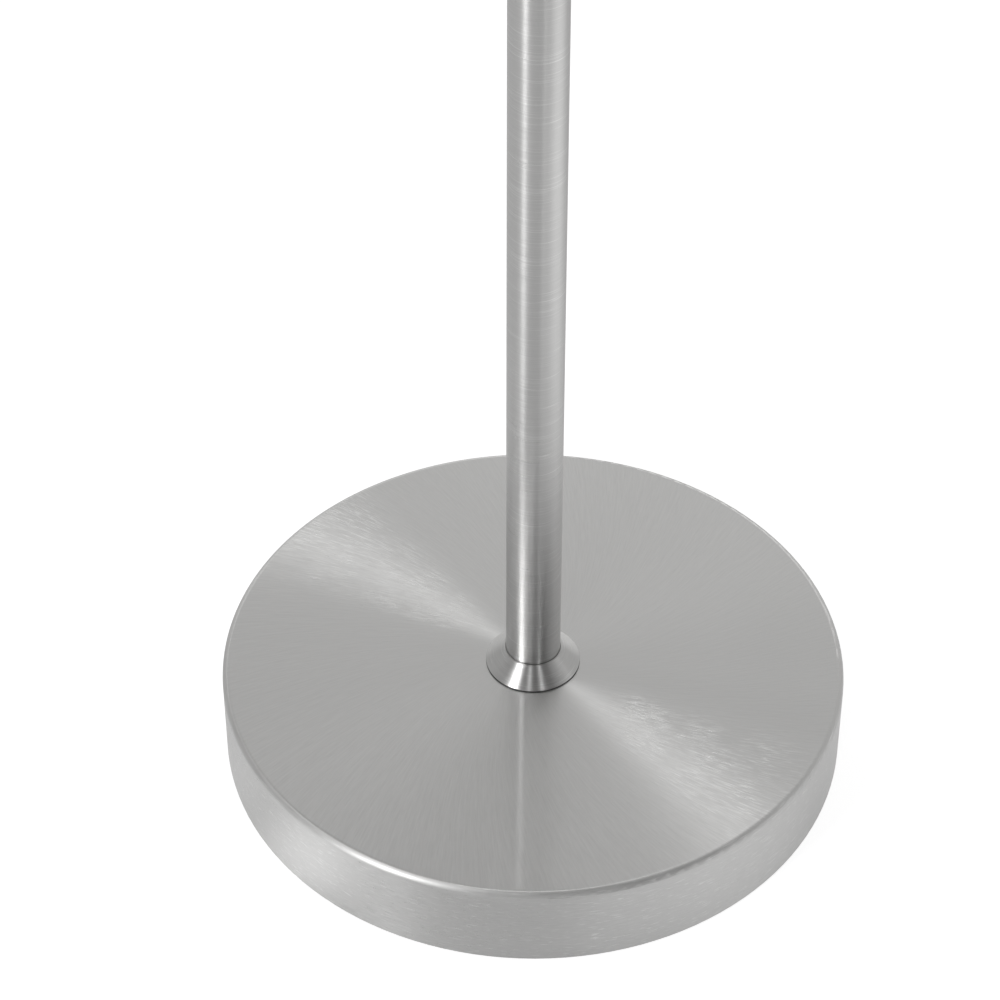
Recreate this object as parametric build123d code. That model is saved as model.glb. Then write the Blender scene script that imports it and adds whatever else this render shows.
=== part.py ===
"""Torchiere floor lamp: a weighted round base, a three-piece steel pole and an uplight glass bowl.

Every piece that would come apart on a bench is its own solid and its own STEP file.
Millimetres, +Z up. The origin is on the floor, under the middle of the base. The lamp's
front, with the dimmer knob, faces -Y, and the cord bush is at the back, on +Y.
"""

from build123d import *
import math
import os

# ---------------------------------------------------------------- driving dimensions
# Overall sizes.
LAMP_HEIGHT = 1803.0        # floor to the rim of the glass bowl
BASE_DIAMETER = 254.0
COVER_HEIGHT = 37.6
POLE_DIAMETER = 22.2
POLE_WALL = 1.2
BOWL_DIAMETER = 330.0
BOWL_DEPTH = 105.0

# Clearances and small edge breaks that many pieces share.
SLIP_GAP = 0.2              # a piece that drops over or into another
RUNNING_GAP = 0.06          # a shaft that turns in its bush
EDGE_BREAK = 0.4

# Hollow threaded rod, nuts and washers: one size at the foot and at the head.
THREAD_DIAMETER = 10.0
NIPPLE_BORE = 7.0
NIPPLE_ENGAGEMENT = 14.0    # how far the rod screws into a tube's bush
NIPPLE_STICKS_OUT = 1.5     # thread that shows past a tightened nut
NUT_ACROSS_FLATS = 14.0
NUT_THICKNESS = 4.0
LOCK_WASHER_DIAMETER = 17.0
LOCK_WASHER_THICKNESS = 1.4
LOCK_WASHER_TEETH = 12
LOCK_WASHER_NOTCH_SHARE = 0.38  # width of a notch as a share of the teeth's spacing
WASHER_DIAMETER = 21.0
WASHER_THICKNESS = 1.6

# Base.
PAD_THICKNESS = 2.0
PAD_PROUD = 1.0             # the pad stands this far below the cover's rim
PAD_MARGIN = 3.0            # ring of cover left uncovered round the pad
COVER_WALL = 1.2
COVER_EDGE_RADIUS = 2.5
WEIGHT_INSET = 13.0         # from the outside of the cover to the edge of the iron weight
WEIGHT_PLATE = 14.0
WEIGHT_EDGE_RADIUS = 3.0
HUB_DIAMETER = 60.0
RIB_COUNT = 6
RIB_WIDTH = 9.0
RIB_END_INSET = 10.0
RIB_HEADROOM = 1.0
RECESS_MARGIN = 2.5         # round the washer, under the hub

# Cord bush and the lead that starts behind it.
BUSH_BORE = 6.0
BUSH_HEIGHT = 11.0          # bush axis above the floor
BUSH_NECK_DIAMETER = 10.0
BUSH_FLANGE_DIAMETER = 14.0
BUSH_FLANGE = 2.0
BUSH_COLLAR_DIAMETER = 12.4
BUSH_COLLAR = 7.0
LEAD_DIAMETER = 5.0
LEAD_START_GAP = 1.0        # between the bush and the end of the lead
LEAD_BEND_RADIUS = 11.0
LEAD_CHANNEL_GAP = 1.0      # round the lead, in the channel under the weight
LEAD_DROP_LENGTH = 20.0     # over which the lead comes down from the bush to the channel
LEAD_DROP_RADIUS = 25.0
NOTCH_DEPTH = 30.0          # full-height notch in the weight, in front of the bush
NOTCH_WIDTH = 18.0

# Collar at the foot of the pole, and the same collar upside down under the head.
COLLAR_HEIGHT = 7.9
COLLAR_SPREAD = 7.2         # how far the cone's wide end stands out past its narrow one
COLLAR_LIP = 0.9            # ring of collar that shows round the tube
COLLAR_FLOOR = 3.0
COLLAR_EDGE = 0.6           # upright edge below the cone

# Pole.
TUBE_COUNT = 3
TUBE_BUSH_LENGTH = 20.0
JOINT_SOCKET_LENGTH = 24.0
JOINT_STUD_BODY = 16.0
JOINT_STUD_LENGTH = 18.0
JOINT_STUD_DIAMETER = 14.0
JOINT_BORE = 8.0

# Head cup, bracket and lampholder.
CUP_DIAMETER = 64.0
CUP_HEIGHT = 58.0
CUP_WALL = 1.0
CUP_EDGE_RADIUS = 9.0
BRACKET_SHEET = 1.6
BRACKET_WIDTH = 14.0
BRACKET_SPAN = 44.0
BRACKET_SHELF = 12.0
BRACKET_SCREW_SPACING = 26.0
BRACKET_SCREW_DIAMETER = 3.0
BRACKET_SCREW_HEAD = 5.4
BRACKET_SCREW_HEAD_HEIGHT = 1.8
BRACKET_SCREW_LENGTH = 8.0
BRACKET_SCREW_SLOT = 0.8
BRACKET_SCREW_SLOT_DEPTH = 0.7
SOCKET_LIFT = 35.0          # underside of the lampholder above the underside of the cup
SOCKET_HEIGHT = 46.0
SOCKET_BASE_DIAMETER = 35.0
SOCKET_BASE_HEIGHT = 14.0
SOCKET_SKIRT_DIAMETER = 38.6
SOCKET_FLOOR = 12.0
SHELL_WALL = 0.6
SHELL_LENGTH = 24.0
SHELL_CLEARANCE = 0.35      # between the screw shell and the bulb's cap
TONGUE_SHEET = 0.6
TONGUE_WIDTH = 6.0
TONGUE_RISE = 3.6
TONGUE_REACH = 7.5
RIVET_HEAD_DIAMETER = 3.6
RIVET_HEAD = 0.8
RIVET_SHANK_DIAMETER = 2.0
RIVET_LENGTH = 6.0

# Tray, glass bowl, gaskets and the ring that clamps them.
TRAY_WALL = 1.2
TRAY_ANGLE = 24.0           # how far up the bowl's curve the tray reaches
GASKET_THICKNESS = 2.0
GASKET_WIDTH = 16.0
GLASS_WALL = 4.0
BOWL_FLAT_DIAMETER = 88.0
BOWL_CURVE_RADIUS = 100.0
RING_FLANGE_DIAMETER = 60.0
RING_FLANGE = 3.0
RING_HEIGHT = 9.0
RING_WALL = 3.4
RING_GRIPS = 24
RING_GRIP_DIAMETER = 2.0

# LED bulb with an E26 cap.
CAP_DIAMETER = 25.9
CAP_LENGTH = 22.0
CAP_WALL = 0.5
BULB_LENGTH = 110.0
BULB_DIAMETER = 60.0
BULB_NECK_LENGTH = 9.0
BULB_NECK_DIAMETER = 27.0
BULB_BODY_LENGTH = 34.0
BULB_WALL = 1.5
BULB_TIP_DIAMETER = 7.0
BULB_TIP_HEIGHT = 2.0
BULB_INSULATOR_HEIGHT = 2.6
BOARD_DIAMETER = 46.0
BOARD_THICKNESS = 1.6
CHIP_COUNT = 12
CHIP_SIZE = 3.0
CHIP_THICKNESS = 0.8
CHIP_RING_DIAMETER = 34.0

# Rotary dimmer: can, threaded bushing, bezel, nut, shaft and knob, all on one level axis.
DIMMER_LIFT = 23.0          # axis above the underside of the cup
CAN_DIAMETER = 21.0
CAN_DEPTH = 12.0
CAN_GAP = 0.6               # between the can's front edge and the inside of the cup
CAN_REAR_WALL = 2.0
BUSHING_DIAMETER = 9.4
BEZEL_DIAMETER = 19.0
BEZEL_THICKNESS = 2.5
PANEL_NUT_ACROSS_FLATS = 12.0
PANEL_NUT_THICKNESS = 2.4
SHAFT_DIAMETER = 6.0
SHAFT_FLAT = 0.8
KNOB_DIAMETER = 22.0
KNOB_LENGTH = 17.0
KNOB_GAP = 0.7              # between the knob and the bezel
KNOB_RECESS_DIAMETER = 16.4
KNOB_FACE = 3.0
KNOB_EDGE_RADIUS = 1.2
KNOB_FLUTES = 30
KNOB_FLUTE_DIAMETER = 1.3
POINTER_WIDTH = 1.2
POINTER_DEPTH = 0.5
POINTER_START = 0.25        # where the line starts, as a share of the knob's radius
SET_SCREW_DIAMETER = 3.0
SET_SCREW_SLOT = 0.6
SET_SCREW_SLOT_DEPTH = 0.75

# Single-core wires in the head.
WIRE_DIAMETER = 2.0
WIRE_SPACING = 2.4
WIRE_TERMINAL_SPACING = 8.0
WIRE_BEND_RADIUS = 3.0

# ---------------------------------------------------------------- levels and radii
base_radius = BASE_DIAMETER / 2
pole_radius = POLE_DIAMETER / 2
tube_bore_radius = pole_radius - POLE_WALL
thread_radius = THREAD_DIAMETER / 2

cover_bottom = PAD_PROUD
cover_top = cover_bottom + COVER_HEIGHT
cover_ceiling = cover_top - COVER_WALL
weight_bottom = PAD_THICKNESS
weight_radius = base_radius - WEIGHT_INSET
channel_height = LEAD_DIAMETER + 2 * LEAD_CHANNEL_GAP
lead_level = weight_bottom + channel_height / 2
foot_nipple_bottom = lead_level + LEAD_BEND_RADIUS + LEAD_CHANNEL_GAP
foot_nut_bottom = foot_nipple_bottom + NIPPLE_STICKS_OUT
foot_lock_bottom = foot_nut_bottom + NUT_THICKNESS
foot_washer_bottom = foot_lock_bottom + LOCK_WASHER_THICKNESS
recess_ceiling = foot_washer_bottom + WASHER_THICKNESS
bush_inner_face = base_radius - COVER_WALL - BUSH_COLLAR
bush_outer_face = base_radius + BUSH_FLANGE

collar_narrow_radius = pole_radius + COLLAR_LIP
collar_wide_radius = collar_narrow_radius + COLLAR_SPREAD
pole_bottom = cover_top + COLLAR_FLOOR

bowl_radius = BOWL_DIAMETER / 2
bowl_flat_radius = BOWL_FLAT_DIAMETER / 2
bowl_bottom = LAMP_HEIGHT - BOWL_DEPTH
tray_top_level = bowl_bottom - GASKET_THICKNESS
cup_top = tray_top_level - TRAY_WALL
cup_bottom = cup_top - CUP_HEIGHT
cup_radius = CUP_DIAMETER / 2
cup_floor = cup_bottom + CUP_WALL
pole_top = cup_bottom - COLLAR_FLOOR
tube_length = (pole_top - pole_bottom) / TUBE_COUNT

bracket_top = cup_bottom + SOCKET_LIFT
head_lock_bottom = cup_floor + BRACKET_SHEET
head_nut_bottom = head_lock_bottom + LOCK_WASHER_THICKNESS
head_nipple_top = head_nut_bottom + NUT_THICKNESS + NIPPLE_STICKS_OUT
socket_bottom = bracket_top
socket_top = socket_bottom + SOCKET_HEIGHT
socket_skirt_radius = SOCKET_SKIRT_DIAMETER / 2
socket_cavity_floor = socket_bottom + SOCKET_FLOOR

cap_radius = CAP_DIAMETER / 2
shell_inner_radius = cap_radius + SHELL_CLEARANCE
shell_outer_radius = shell_inner_radius + SHELL_WALL
socket_cavity_radius = shell_outer_radius + SLIP_GAP
shell_bottom = socket_cavity_floor
bulb_bottom = socket_cavity_floor + TONGUE_RISE + TONGUE_SHEET + SLIP_GAP / 2
cap_bottom = bulb_bottom + BULB_TIP_HEIGHT + BULB_INSULATOR_HEIGHT
cap_top = cap_bottom + CAP_LENGTH
bulb_top = bulb_bottom + BULB_LENGTH
bulb_radius = BULB_DIAMETER / 2
bulb_shoulder = cap_top + BULB_NECK_LENGTH + BULB_BODY_LENGTH
board_bottom = bulb_shoulder - BULB_WALL

glass_hole_radius = socket_skirt_radius + 4 * SLIP_GAP
glass_floor = bowl_bottom + GLASS_WALL
ring_bottom = glass_floor + GASKET_THICKNESS

dimmer_level = cup_bottom + DIMMER_LIFT
can_radius = CAN_DIAMETER / 2
can_front = math.sqrt((cup_radius - CUP_WALL) ** 2 - can_radius**2) - CAN_GAP
can_rear = can_front - CAN_DEPTH
bezel_front = cup_radius + BEZEL_THICKNESS
panel_nut_front = bezel_front + PANEL_NUT_THICKNESS
bushing_front = panel_nut_front + NIPPLE_STICKS_OUT
knob_rear = bezel_front + KNOB_GAP
knob_front = knob_rear + KNOB_LENGTH
shaft_radius = SHAFT_DIAMETER / 2
shaft_front = knob_front - KNOB_FACE
shaft_rear = can_rear + CAN_REAR_WALL + SLIP_GAP


# ---------------------------------------------------------------- shared shapes
def turned(*outline):
    """A solid of revolution about Z from a closed outline of (radius, height) points."""
    return revolve(Plane.XZ * make_face(Polyline(*outline, close=True)), Axis.Z)


def turned_face(lines):
    """A solid of revolution about Z from a closed outline of joined lines and arcs."""
    return revolve(Plane.XZ * make_face(lines), Axis.Z)


def ring(outer, inner, bottom, top):
    """A plain ring about Z."""
    return turned((inner, bottom), (outer, bottom), (outer, top), (inner, top))


def broken_ring(outer, inner, bottom, top, edge=EDGE_BREAK):
    """A ring whose outer corners are chamfered."""
    return turned(
        (inner, bottom), (outer - edge, bottom), (outer, bottom + edge),
        (outer, top - edge), (outer - edge, top), (inner, top),
    )


def rod(radius, bottom, top, x=0.0, y=0.0):
    """A solid upright cylinder."""
    return Pos(x, y, (bottom + top) / 2) * Cylinder(radius, top - bottom)


def level_rod(radius, rear, front, height):
    """A solid cylinder along -Y: rear and front are distances in front of the lamp's axis."""
    return Pos(0, -(rear + front) / 2, height) * Rot(90, 0, 0) * Cylinder(radius, front - rear)


def hexagon(across_flats, length):
    """A hexagonal prism about Z, centred on the origin."""
    outline = RegularPolygon(across_flats / 2, 6, major_radius=False)
    return Pos(0, 0, -length / 2) * extrude(outline, length)


def hex_nut(across_flats, thickness, hole_radius):
    """A nut about Z, centred on the origin, with its corners turned off at both faces."""
    corner = across_flats / math.sqrt(3)
    flat = across_flats / 2
    half = thickness / 2
    chamfer_height = (corner - flat) * math.tan(math.radians(30))
    envelope = turned(
        (0, -half), (flat, -half), (corner, -half + chamfer_height),
        (corner, half - chamfer_height), (flat, half), (0, half),
    )
    return (hexagon(across_flats, thickness) & envelope) - Cylinder(hole_radius, 2 * thickness)


def star_washer(bottom):
    """A lock washer with teeth cut round its edge."""
    outer = LOCK_WASHER_DIAMETER / 2
    notch_radius = LOCK_WASHER_NOTCH_SHARE * math.pi * outer / LOCK_WASHER_TEETH
    blank = ring(outer, thread_radius + SLIP_GAP, bottom, bottom + LOCK_WASHER_THICKNESS)
    middle = bottom + LOCK_WASHER_THICKNESS / 2
    notch = Cylinder(notch_radius, 2 * LOCK_WASHER_THICKNESS)
    notches = [Pos(0, 0, middle) * place * notch for place in PolarLocations(outer, LOCK_WASHER_TEETH)]
    return blank - notches


def wire_tube(points, diameter, radii):
    """A round wire along straight runs joined by tangent arcs."""
    path = FilletPolyline(*points, radius=radii)
    section = Plane(origin=path @ 0, z_dir=path % 0) * Circle(diameter / 2)
    return sweep(section, path)


# ---------------------------------------------------------------- base
def felt_pad():
    """Felt disc glued under the iron weight. It carries the lamp."""
    radius = base_radius - COVER_WALL - PAD_MARGIN
    return rod(radius, 0, PAD_THICKNESS)


def base_weight():
    """Cast-iron plate with a hub that the pole's rod clamps, ribs, and a channel for the lead."""
    hub_radius = HUB_DIAMETER / 2
    plate_top = weight_bottom + WEIGHT_PLATE
    edge = WEIGHT_EDGE_RADIUS
    plate = turned(
        (0, weight_bottom), (weight_radius, weight_bottom), (weight_radius, plate_top - edge),
        (weight_radius - edge, plate_top), (0, plate_top),
    )
    hub = rod(hub_radius, weight_bottom, cover_ceiling)
    rib_top = cover_ceiling - RIB_HEADROOM
    rib_end = weight_radius - RIB_END_INSET
    rib_outline = Polyline(
        (0, plate_top - edge), (rib_end, plate_top - edge), (rib_end, plate_top),
        (rib_end - RIB_END_INSET, rib_top), (0, rib_top), close=True,
    )
    rib = extrude(Plane.XZ * make_face(rib_outline), RIB_WIDTH / 2, both=True)
    body = plate + hub
    for k in range(RIB_COUNT):
        body += Rot(0, 0, k * 360 / RIB_COUNT) * rib

    recess_radius = WASHER_DIAMETER / 2 + RECESS_MARGIN
    body -= rod(recess_radius, weight_bottom, recess_ceiling)
    body -= rod(thread_radius + SLIP_GAP, weight_bottom, cover_ceiling)
    channel = Box(channel_height, weight_radius, channel_height)
    body -= Pos(0, weight_radius / 2, weight_bottom + channel_height / 2) * channel
    notch = Box(NOTCH_WIDTH, 2 * NOTCH_DEPTH, 2 * WEIGHT_PLATE + channel_height)
    return body - Pos(0, weight_radius, weight_bottom) * notch


def base_cover():
    """Pressed steel shell over the weight, brushed outside, with a rounded top edge."""
    radius = base_radius
    edge = COVER_EDGE_RADIUS
    inner = radius - COVER_WALL
    inner_edge = edge - COVER_WALL
    hole = thread_radius + SLIP_GAP
    outline = [
        Line((hole, cover_ceiling), (inner - inner_edge, cover_ceiling)),
        RadiusArc((inner - inner_edge, cover_ceiling), (inner, cover_ceiling - inner_edge), inner_edge),
        Line((inner, cover_ceiling - inner_edge), (inner, cover_bottom)),
        Line((inner, cover_bottom), (radius, cover_bottom)),
        Line((radius, cover_bottom), (radius, cover_top - edge)),
        RadiusArc((radius, cover_top - edge), (radius - edge, cover_top), -edge),
        Line((radius - edge, cover_top), (hole, cover_top)),
        Line((hole, cover_top), (hole, cover_ceiling)),
    ]
    cord_hole = Rot(-90, 0, 0) * Cylinder(BUSH_NECK_DIAMETER / 2, 4 * BUSH_COLLAR)
    return turned_face(outline) - Pos(0, radius, BUSH_HEIGHT) * cord_hole


def cord_bush():
    """Snap-in bush for the supply cord, saddled to the round wall of the cover."""
    def drum(diameter, inner, outer):
        middle = (inner + outer) / 2
        return Pos(0, middle, BUSH_HEIGHT) * Rot(-90, 0, 0) * Cylinder(diameter / 2, outer - inner)

    wall_inside = base_radius - COVER_WALL
    outside = Cylinder(base_radius, 6 * COVER_HEIGHT)
    inside = Cylinder(wall_inside, 6 * COVER_HEIGHT)
    neck = drum(BUSH_NECK_DIAMETER, bush_inner_face, bush_outer_face)
    flange = drum(BUSH_FLANGE_DIAMETER, wall_inside - BUSH_FLANGE, bush_outer_face) - outside
    collar = drum(BUSH_COLLAR_DIAMETER, bush_inner_face, base_radius) & inside
    bore = drum(BUSH_BORE, bush_inner_face - 1, bush_outer_face + 1)
    return neck + flange + collar - bore


def base_nipple():
    """Hollow threaded rod that pulls the pole, collar, cover and weight together."""
    top = pole_bottom + NIPPLE_ENGAGEMENT
    return broken_ring(thread_radius, NIPPLE_BORE / 2, foot_nipple_bottom, top)


def foot_nut():
    nut = hex_nut(NUT_ACROSS_FLATS, NUT_THICKNESS, thread_radius)
    return Pos(0, 0, foot_nut_bottom + NUT_THICKNESS / 2) * nut


def foot_lock_washer():
    return star_washer(foot_lock_bottom)


def foot_washer():
    top = foot_washer_bottom + WASHER_THICKNESS
    return ring(WASHER_DIAMETER / 2, thread_radius + SLIP_GAP, foot_washer_bottom, top)


def collar_solid():
    """Cone with an upright lower edge and a pocket that the tube's end stands in, on Z = 0."""
    pocket = pole_radius + SLIP_GAP
    hole = thread_radius + SLIP_GAP
    return turned(
        (hole, 0), (collar_wide_radius, 0), (collar_wide_radius, COLLAR_EDGE),
        (collar_narrow_radius, COLLAR_HEIGHT), (pocket, COLLAR_HEIGHT),
        (pocket, COLLAR_FLOOR), (hole, COLLAR_FLOOR),
    )


def foot_collar():
    return Pos(0, 0, cover_top) * collar_solid()


# ---------------------------------------------------------------- pole
def pole_tube(index):
    """One length of the pole, counted from the bottom, with its ends broken so joints show."""
    bottom = pole_bottom + index * tube_length
    top = bottom + tube_length
    return broken_ring(pole_radius, tube_bore_radius, bottom, top)


def tube_bush(bottom, top, bore_radius):
    """Threaded bush pressed into a tube's end."""
    return ring(tube_bore_radius, bore_radius, bottom, top)


def foot_bush():
    return tube_bush(pole_bottom, pole_bottom + TUBE_BUSH_LENGTH, thread_radius)


def head_bush():
    return tube_bush(pole_top - TUBE_BUSH_LENGTH, pole_top, thread_radius)


def joint_socket(index):
    """Female half of the joint at the top of tube number index."""
    joint = pole_bottom + (index + 1) * tube_length
    return tube_bush(joint - JOINT_SOCKET_LENGTH, joint, JOINT_STUD_DIAMETER / 2)


def joint_stud(index):
    """Male half of the joint: pressed into the bottom of tube number index."""
    joint = pole_bottom + index * tube_length
    stud = JOINT_STUD_DIAMETER / 2
    bore = JOINT_BORE / 2
    end = joint - JOINT_STUD_LENGTH
    return turned(
        (bore, end), (stud - 2 * EDGE_BREAK, end), (stud, end + 2 * EDGE_BREAK), (stud, joint),
        (tube_bore_radius, joint), (tube_bore_radius, joint + JOINT_STUD_BODY),
        (bore, joint + JOINT_STUD_BODY),
    )


# ---------------------------------------------------------------- head
def neck_collar():
    """The foot's collar turned over: it carries the head cup on the end of the pole."""
    return Pos(0, 0, cup_bottom) * Rot(180, 0, 0) * collar_solid()


def head_nipple():
    bottom = pole_top - NIPPLE_ENGAGEMENT
    return broken_ring(thread_radius, NIPPLE_BORE / 2, bottom, head_nipple_top)


def head_cup():
    """Spun steel cup that hides the lampholder and carries the dimmer in its front."""
    edge = CUP_EDGE_RADIUS
    inner = cup_radius - CUP_WALL
    hole = thread_radius + SLIP_GAP
    outline = [
        Line((hole, cup_bottom), (cup_radius - edge, cup_bottom)),
        RadiusArc((cup_radius - edge, cup_bottom), (cup_radius, cup_bottom + edge), -edge),
        Line((cup_radius, cup_bottom + edge), (cup_radius, cup_top)),
        Line((cup_radius, cup_top), (inner, cup_top)),
        Line((inner, cup_top), (inner, cup_bottom + edge)),
        RadiusArc((inner, cup_bottom + edge), (cup_radius - edge, cup_floor), edge - CUP_WALL),
        Line((cup_radius - edge, cup_floor), (hole, cup_floor)),
        Line((hole, cup_floor), (hole, cup_bottom)),
    ]
    dimmer_hole = level_rod(BUSHING_DIAMETER / 2 + SLIP_GAP, can_rear, knob_front, dimmer_level)
    return turned_face(outline) - dimmer_hole


def socket_bracket():
    """Bent steel strap: its foot is clamped on the rod, its two shelves carry the lampholder."""
    half_span = BRACKET_SPAN / 2
    shelf_end = half_span - BRACKET_SHELF
    low = cup_floor
    high = bracket_top
    sheet = BRACKET_SHEET
    left_to_right = Polyline(
        (-half_span, low), (half_span, low), (half_span, high), (shelf_end, high),
        (shelf_end, high - sheet), (half_span - sheet, high - sheet), (half_span - sheet, low + sheet),
        (-half_span + sheet, low + sheet), (-half_span + sheet, high - sheet),
        (-shelf_end, high - sheet), (-shelf_end, high), (-half_span, high), close=True,
    )
    strap = extrude(Plane.XZ * make_face(left_to_right), BRACKET_WIDTH / 2, both=True)
    inside_cup = turned_face([
        Line((0, cup_floor), (cup_radius - CUP_EDGE_RADIUS, cup_floor)),
        RadiusArc(
            (cup_radius - CUP_EDGE_RADIUS, cup_floor),
            (cup_radius - CUP_WALL, cup_bottom + CUP_EDGE_RADIUS),
            CUP_WALL - CUP_EDGE_RADIUS,
        ),
        Line((cup_radius - CUP_WALL, cup_bottom + CUP_EDGE_RADIUS), (cup_radius - CUP_WALL, cup_top)),
        Line((cup_radius - CUP_WALL, cup_top), (0, cup_top)),
        Line((0, cup_top), (0, cup_floor)),
    ])
    strap = strap & inside_cup
    strap -= rod(thread_radius + SLIP_GAP, low - 1, low + 2 * sheet)
    for x in (-BRACKET_SCREW_SPACING / 2, BRACKET_SCREW_SPACING / 2):
        strap -= rod(BRACKET_SCREW_DIAMETER / 2 + SLIP_GAP, high - 2 * sheet, high + 1, x=x)
    return strap


def head_lock_washer():
    return star_washer(head_lock_bottom)


def head_nut():
    nut = hex_nut(NUT_ACROSS_FLATS, NUT_THICKNESS, thread_radius)
    return Pos(0, 0, head_nut_bottom + NUT_THICKNESS / 2) * nut


def bracket_screws():
    """Two screws up through the bracket's shelves into the lampholder."""
    seat = bracket_top - BRACKET_SHEET
    shank_top = seat + BRACKET_SCREW_LENGTH
    screws = []
    for x in (-BRACKET_SCREW_SPACING / 2, BRACKET_SCREW_SPACING / 2):
        head = rod(BRACKET_SCREW_HEAD / 2, seat - BRACKET_SCREW_HEAD_HEIGHT, seat, x=x)
        shank = rod(BRACKET_SCREW_DIAMETER / 2, seat, shank_top, x=x)
        slot = Pos(x, 0, seat - BRACKET_SCREW_HEAD_HEIGHT) * Box(
            BRACKET_SCREW_HEAD, BRACKET_SCREW_SLOT, 2 * BRACKET_SCREW_SLOT_DEPTH
        )
        screws.append(head + shank - slot)
    return Compound(children=screws)


def lampholder():
    """Glazed lampholder: closed base, and a skirt with the thread that takes the shade ring."""
    base = SOCKET_BASE_DIAMETER / 2
    skirt = socket_skirt_radius
    step = socket_bottom + SOCKET_BASE_HEIGHT
    body = turned(
        (0, socket_bottom), (base - 2 * EDGE_BREAK, socket_bottom), (base, socket_bottom + 2 * EDGE_BREAK),
        (base, step), (skirt, step + 2 * EDGE_BREAK), (skirt, socket_top - EDGE_BREAK),
        (skirt - EDGE_BREAK, socket_top), (socket_cavity_radius, socket_top),
        (socket_cavity_radius, socket_cavity_floor), (0, socket_cavity_floor),
    )
    screw_end = bracket_top - BRACKET_SHEET + BRACKET_SCREW_LENGTH
    for x in (-BRACKET_SCREW_SPACING / 2, BRACKET_SCREW_SPACING / 2):
        body -= rod(BRACKET_SCREW_DIAMETER / 2, socket_bottom - 1, screw_end, x=x)
    rivet_bottom = socket_cavity_floor + TONGUE_SHEET - RIVET_LENGTH
    return body - rod(RIVET_SHANK_DIAMETER / 2, rivet_bottom, socket_top, x=TONGUE_REACH)


def screw_shell():
    """Aluminium shell that the bulb's cap screws into, with a lip turned in at the bottom."""
    lip = shell_inner_radius - 3 * SHELL_WALL
    top = shell_bottom + SHELL_LENGTH
    return turned(
        (lip, shell_bottom), (shell_outer_radius, shell_bottom), (shell_outer_radius, top),
        (shell_inner_radius, top), (shell_inner_radius, shell_bottom + SHELL_WALL),
        (lip, shell_bottom + SHELL_WALL),
    )


def contact_tongue():
    """Springy brass tongue: riveted at one side, folded back over the middle of the cavity."""
    low = socket_cavity_floor
    sheet = TONGUE_SHEET
    tip = BULB_TIP_DIAMETER / 2
    outline = Polyline(
        (TONGUE_REACH + TONGUE_WIDTH / 2 - sheet, low), (TONGUE_REACH + TONGUE_WIDTH / 2 - sheet, low + sheet),
        (tip + sheet, low + sheet), (tip - sheet / 2, low + TONGUE_RISE + sheet),
        (-tip, low + TONGUE_RISE + sheet), (-tip, low + TONGUE_RISE),
        (tip - sheet, low + TONGUE_RISE), (tip + sheet / 2, low), close=True,
    )
    strip = extrude(Plane.XZ * make_face(outline), TONGUE_WIDTH / 2, both=True)
    strip -= rod(RIVET_SHANK_DIAMETER / 2, low - 1, low + 2 * sheet, x=TONGUE_REACH)
    return strip & rod(shell_inner_radius - 3 * SHELL_WALL, low, socket_top)


def contact_rivet():
    under_head = socket_cavity_floor + TONGUE_SHEET
    shank = rod(RIVET_SHANK_DIAMETER / 2, under_head - RIVET_LENGTH, under_head, x=TONGUE_REACH)
    return shank + rod(RIVET_HEAD_DIAMETER / 2, under_head, under_head + RIVET_HEAD, x=TONGUE_REACH)


# ---------------------------------------------------------------- glass bowl and its seat
def bowl_wall():
    """Angle through which the bowl's arc turns, and the length of the straight wall above it.
    The wall's middle is the tangent from the rim's centre to the arc's middle."""
    half_wall = GLASS_WALL / 2
    across = bowl_radius - half_wall - bowl_flat_radius
    up = BOWL_DEPTH - half_wall - BOWL_CURVE_RADIUS
    reach = math.hypot(across, up)
    arc_radius = BOWL_CURVE_RADIUS - half_wall
    angle = math.atan2(up, across) + math.asin(arc_radius / reach)
    return math.degrees(angle), math.sqrt(reach**2 - arc_radius**2)


def bowl_shell(outer_offset, inner_offset, angle, flare, hole):
    """A shell that follows the bowl's outside: offsets are measured outwards from the glass.
    The arc turns through angle, and flare is the length of straight wall above it."""
    centre = bowl_bottom + BOWL_CURVE_RADIUS
    turn = math.radians(angle)

    def side(offset):
        radius = BOWL_CURVE_RADIUS + offset
        level = centre - radius
        arc = JernArc((bowl_flat_radius, level), (1, 0), radius, angle)
        end = arc @ 1
        top = (end.X + flare * math.cos(turn), end.Y + flare * math.sin(turn))
        return level, arc, end, top

    low_level, low_arc, low_end, low_top = side(outer_offset)
    high_level, high_arc, high_end, high_top = side(inner_offset)
    lines = [Line((hole, low_level), (bowl_flat_radius, low_level)), low_arc]
    lines += [Line((hole, high_level), (bowl_flat_radius, high_level)), high_arc]
    lines.append(Line((hole, low_level), (hole, high_level)))
    if flare > 0:
        lines += [Line(low_end, low_top), Line(high_end, high_top)]
    half_wall = (outer_offset - inner_offset) / 2
    middle = ((low_top[0] + high_top[0]) / 2, (low_top[1] + high_top[1]) / 2)
    crown = (middle[0] + half_wall * math.cos(turn), middle[1] + half_wall * math.sin(turn))
    lines.append(ThreePointArc(low_top, crown, high_top))
    return turned_face(lines)


def glass_bowl():
    """Opal glass bowl, open upwards, with a ground hole in its flat bottom."""
    angle, flare = bowl_wall()
    return bowl_shell(0, -GLASS_WALL, angle, flare, glass_hole_radius)


def bowl_tray():
    """Spun steel saucer under the bowl, which stands on the rim of the cup."""
    hole = socket_skirt_radius + SLIP_GAP
    outer = GASKET_THICKNESS + TRAY_WALL
    return bowl_shell(outer, GASKET_THICKNESS, TRAY_ANGLE, 0, hole)


def lower_gasket():
    inner = glass_hole_radius + SLIP_GAP
    return ring(inner + GASKET_WIDTH, inner, tray_top_level, bowl_bottom)


def upper_gasket():
    outer = RING_FLANGE_DIAMETER / 2 - SLIP_GAP
    return ring(outer, glass_hole_radius, glass_floor, ring_bottom)


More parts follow.
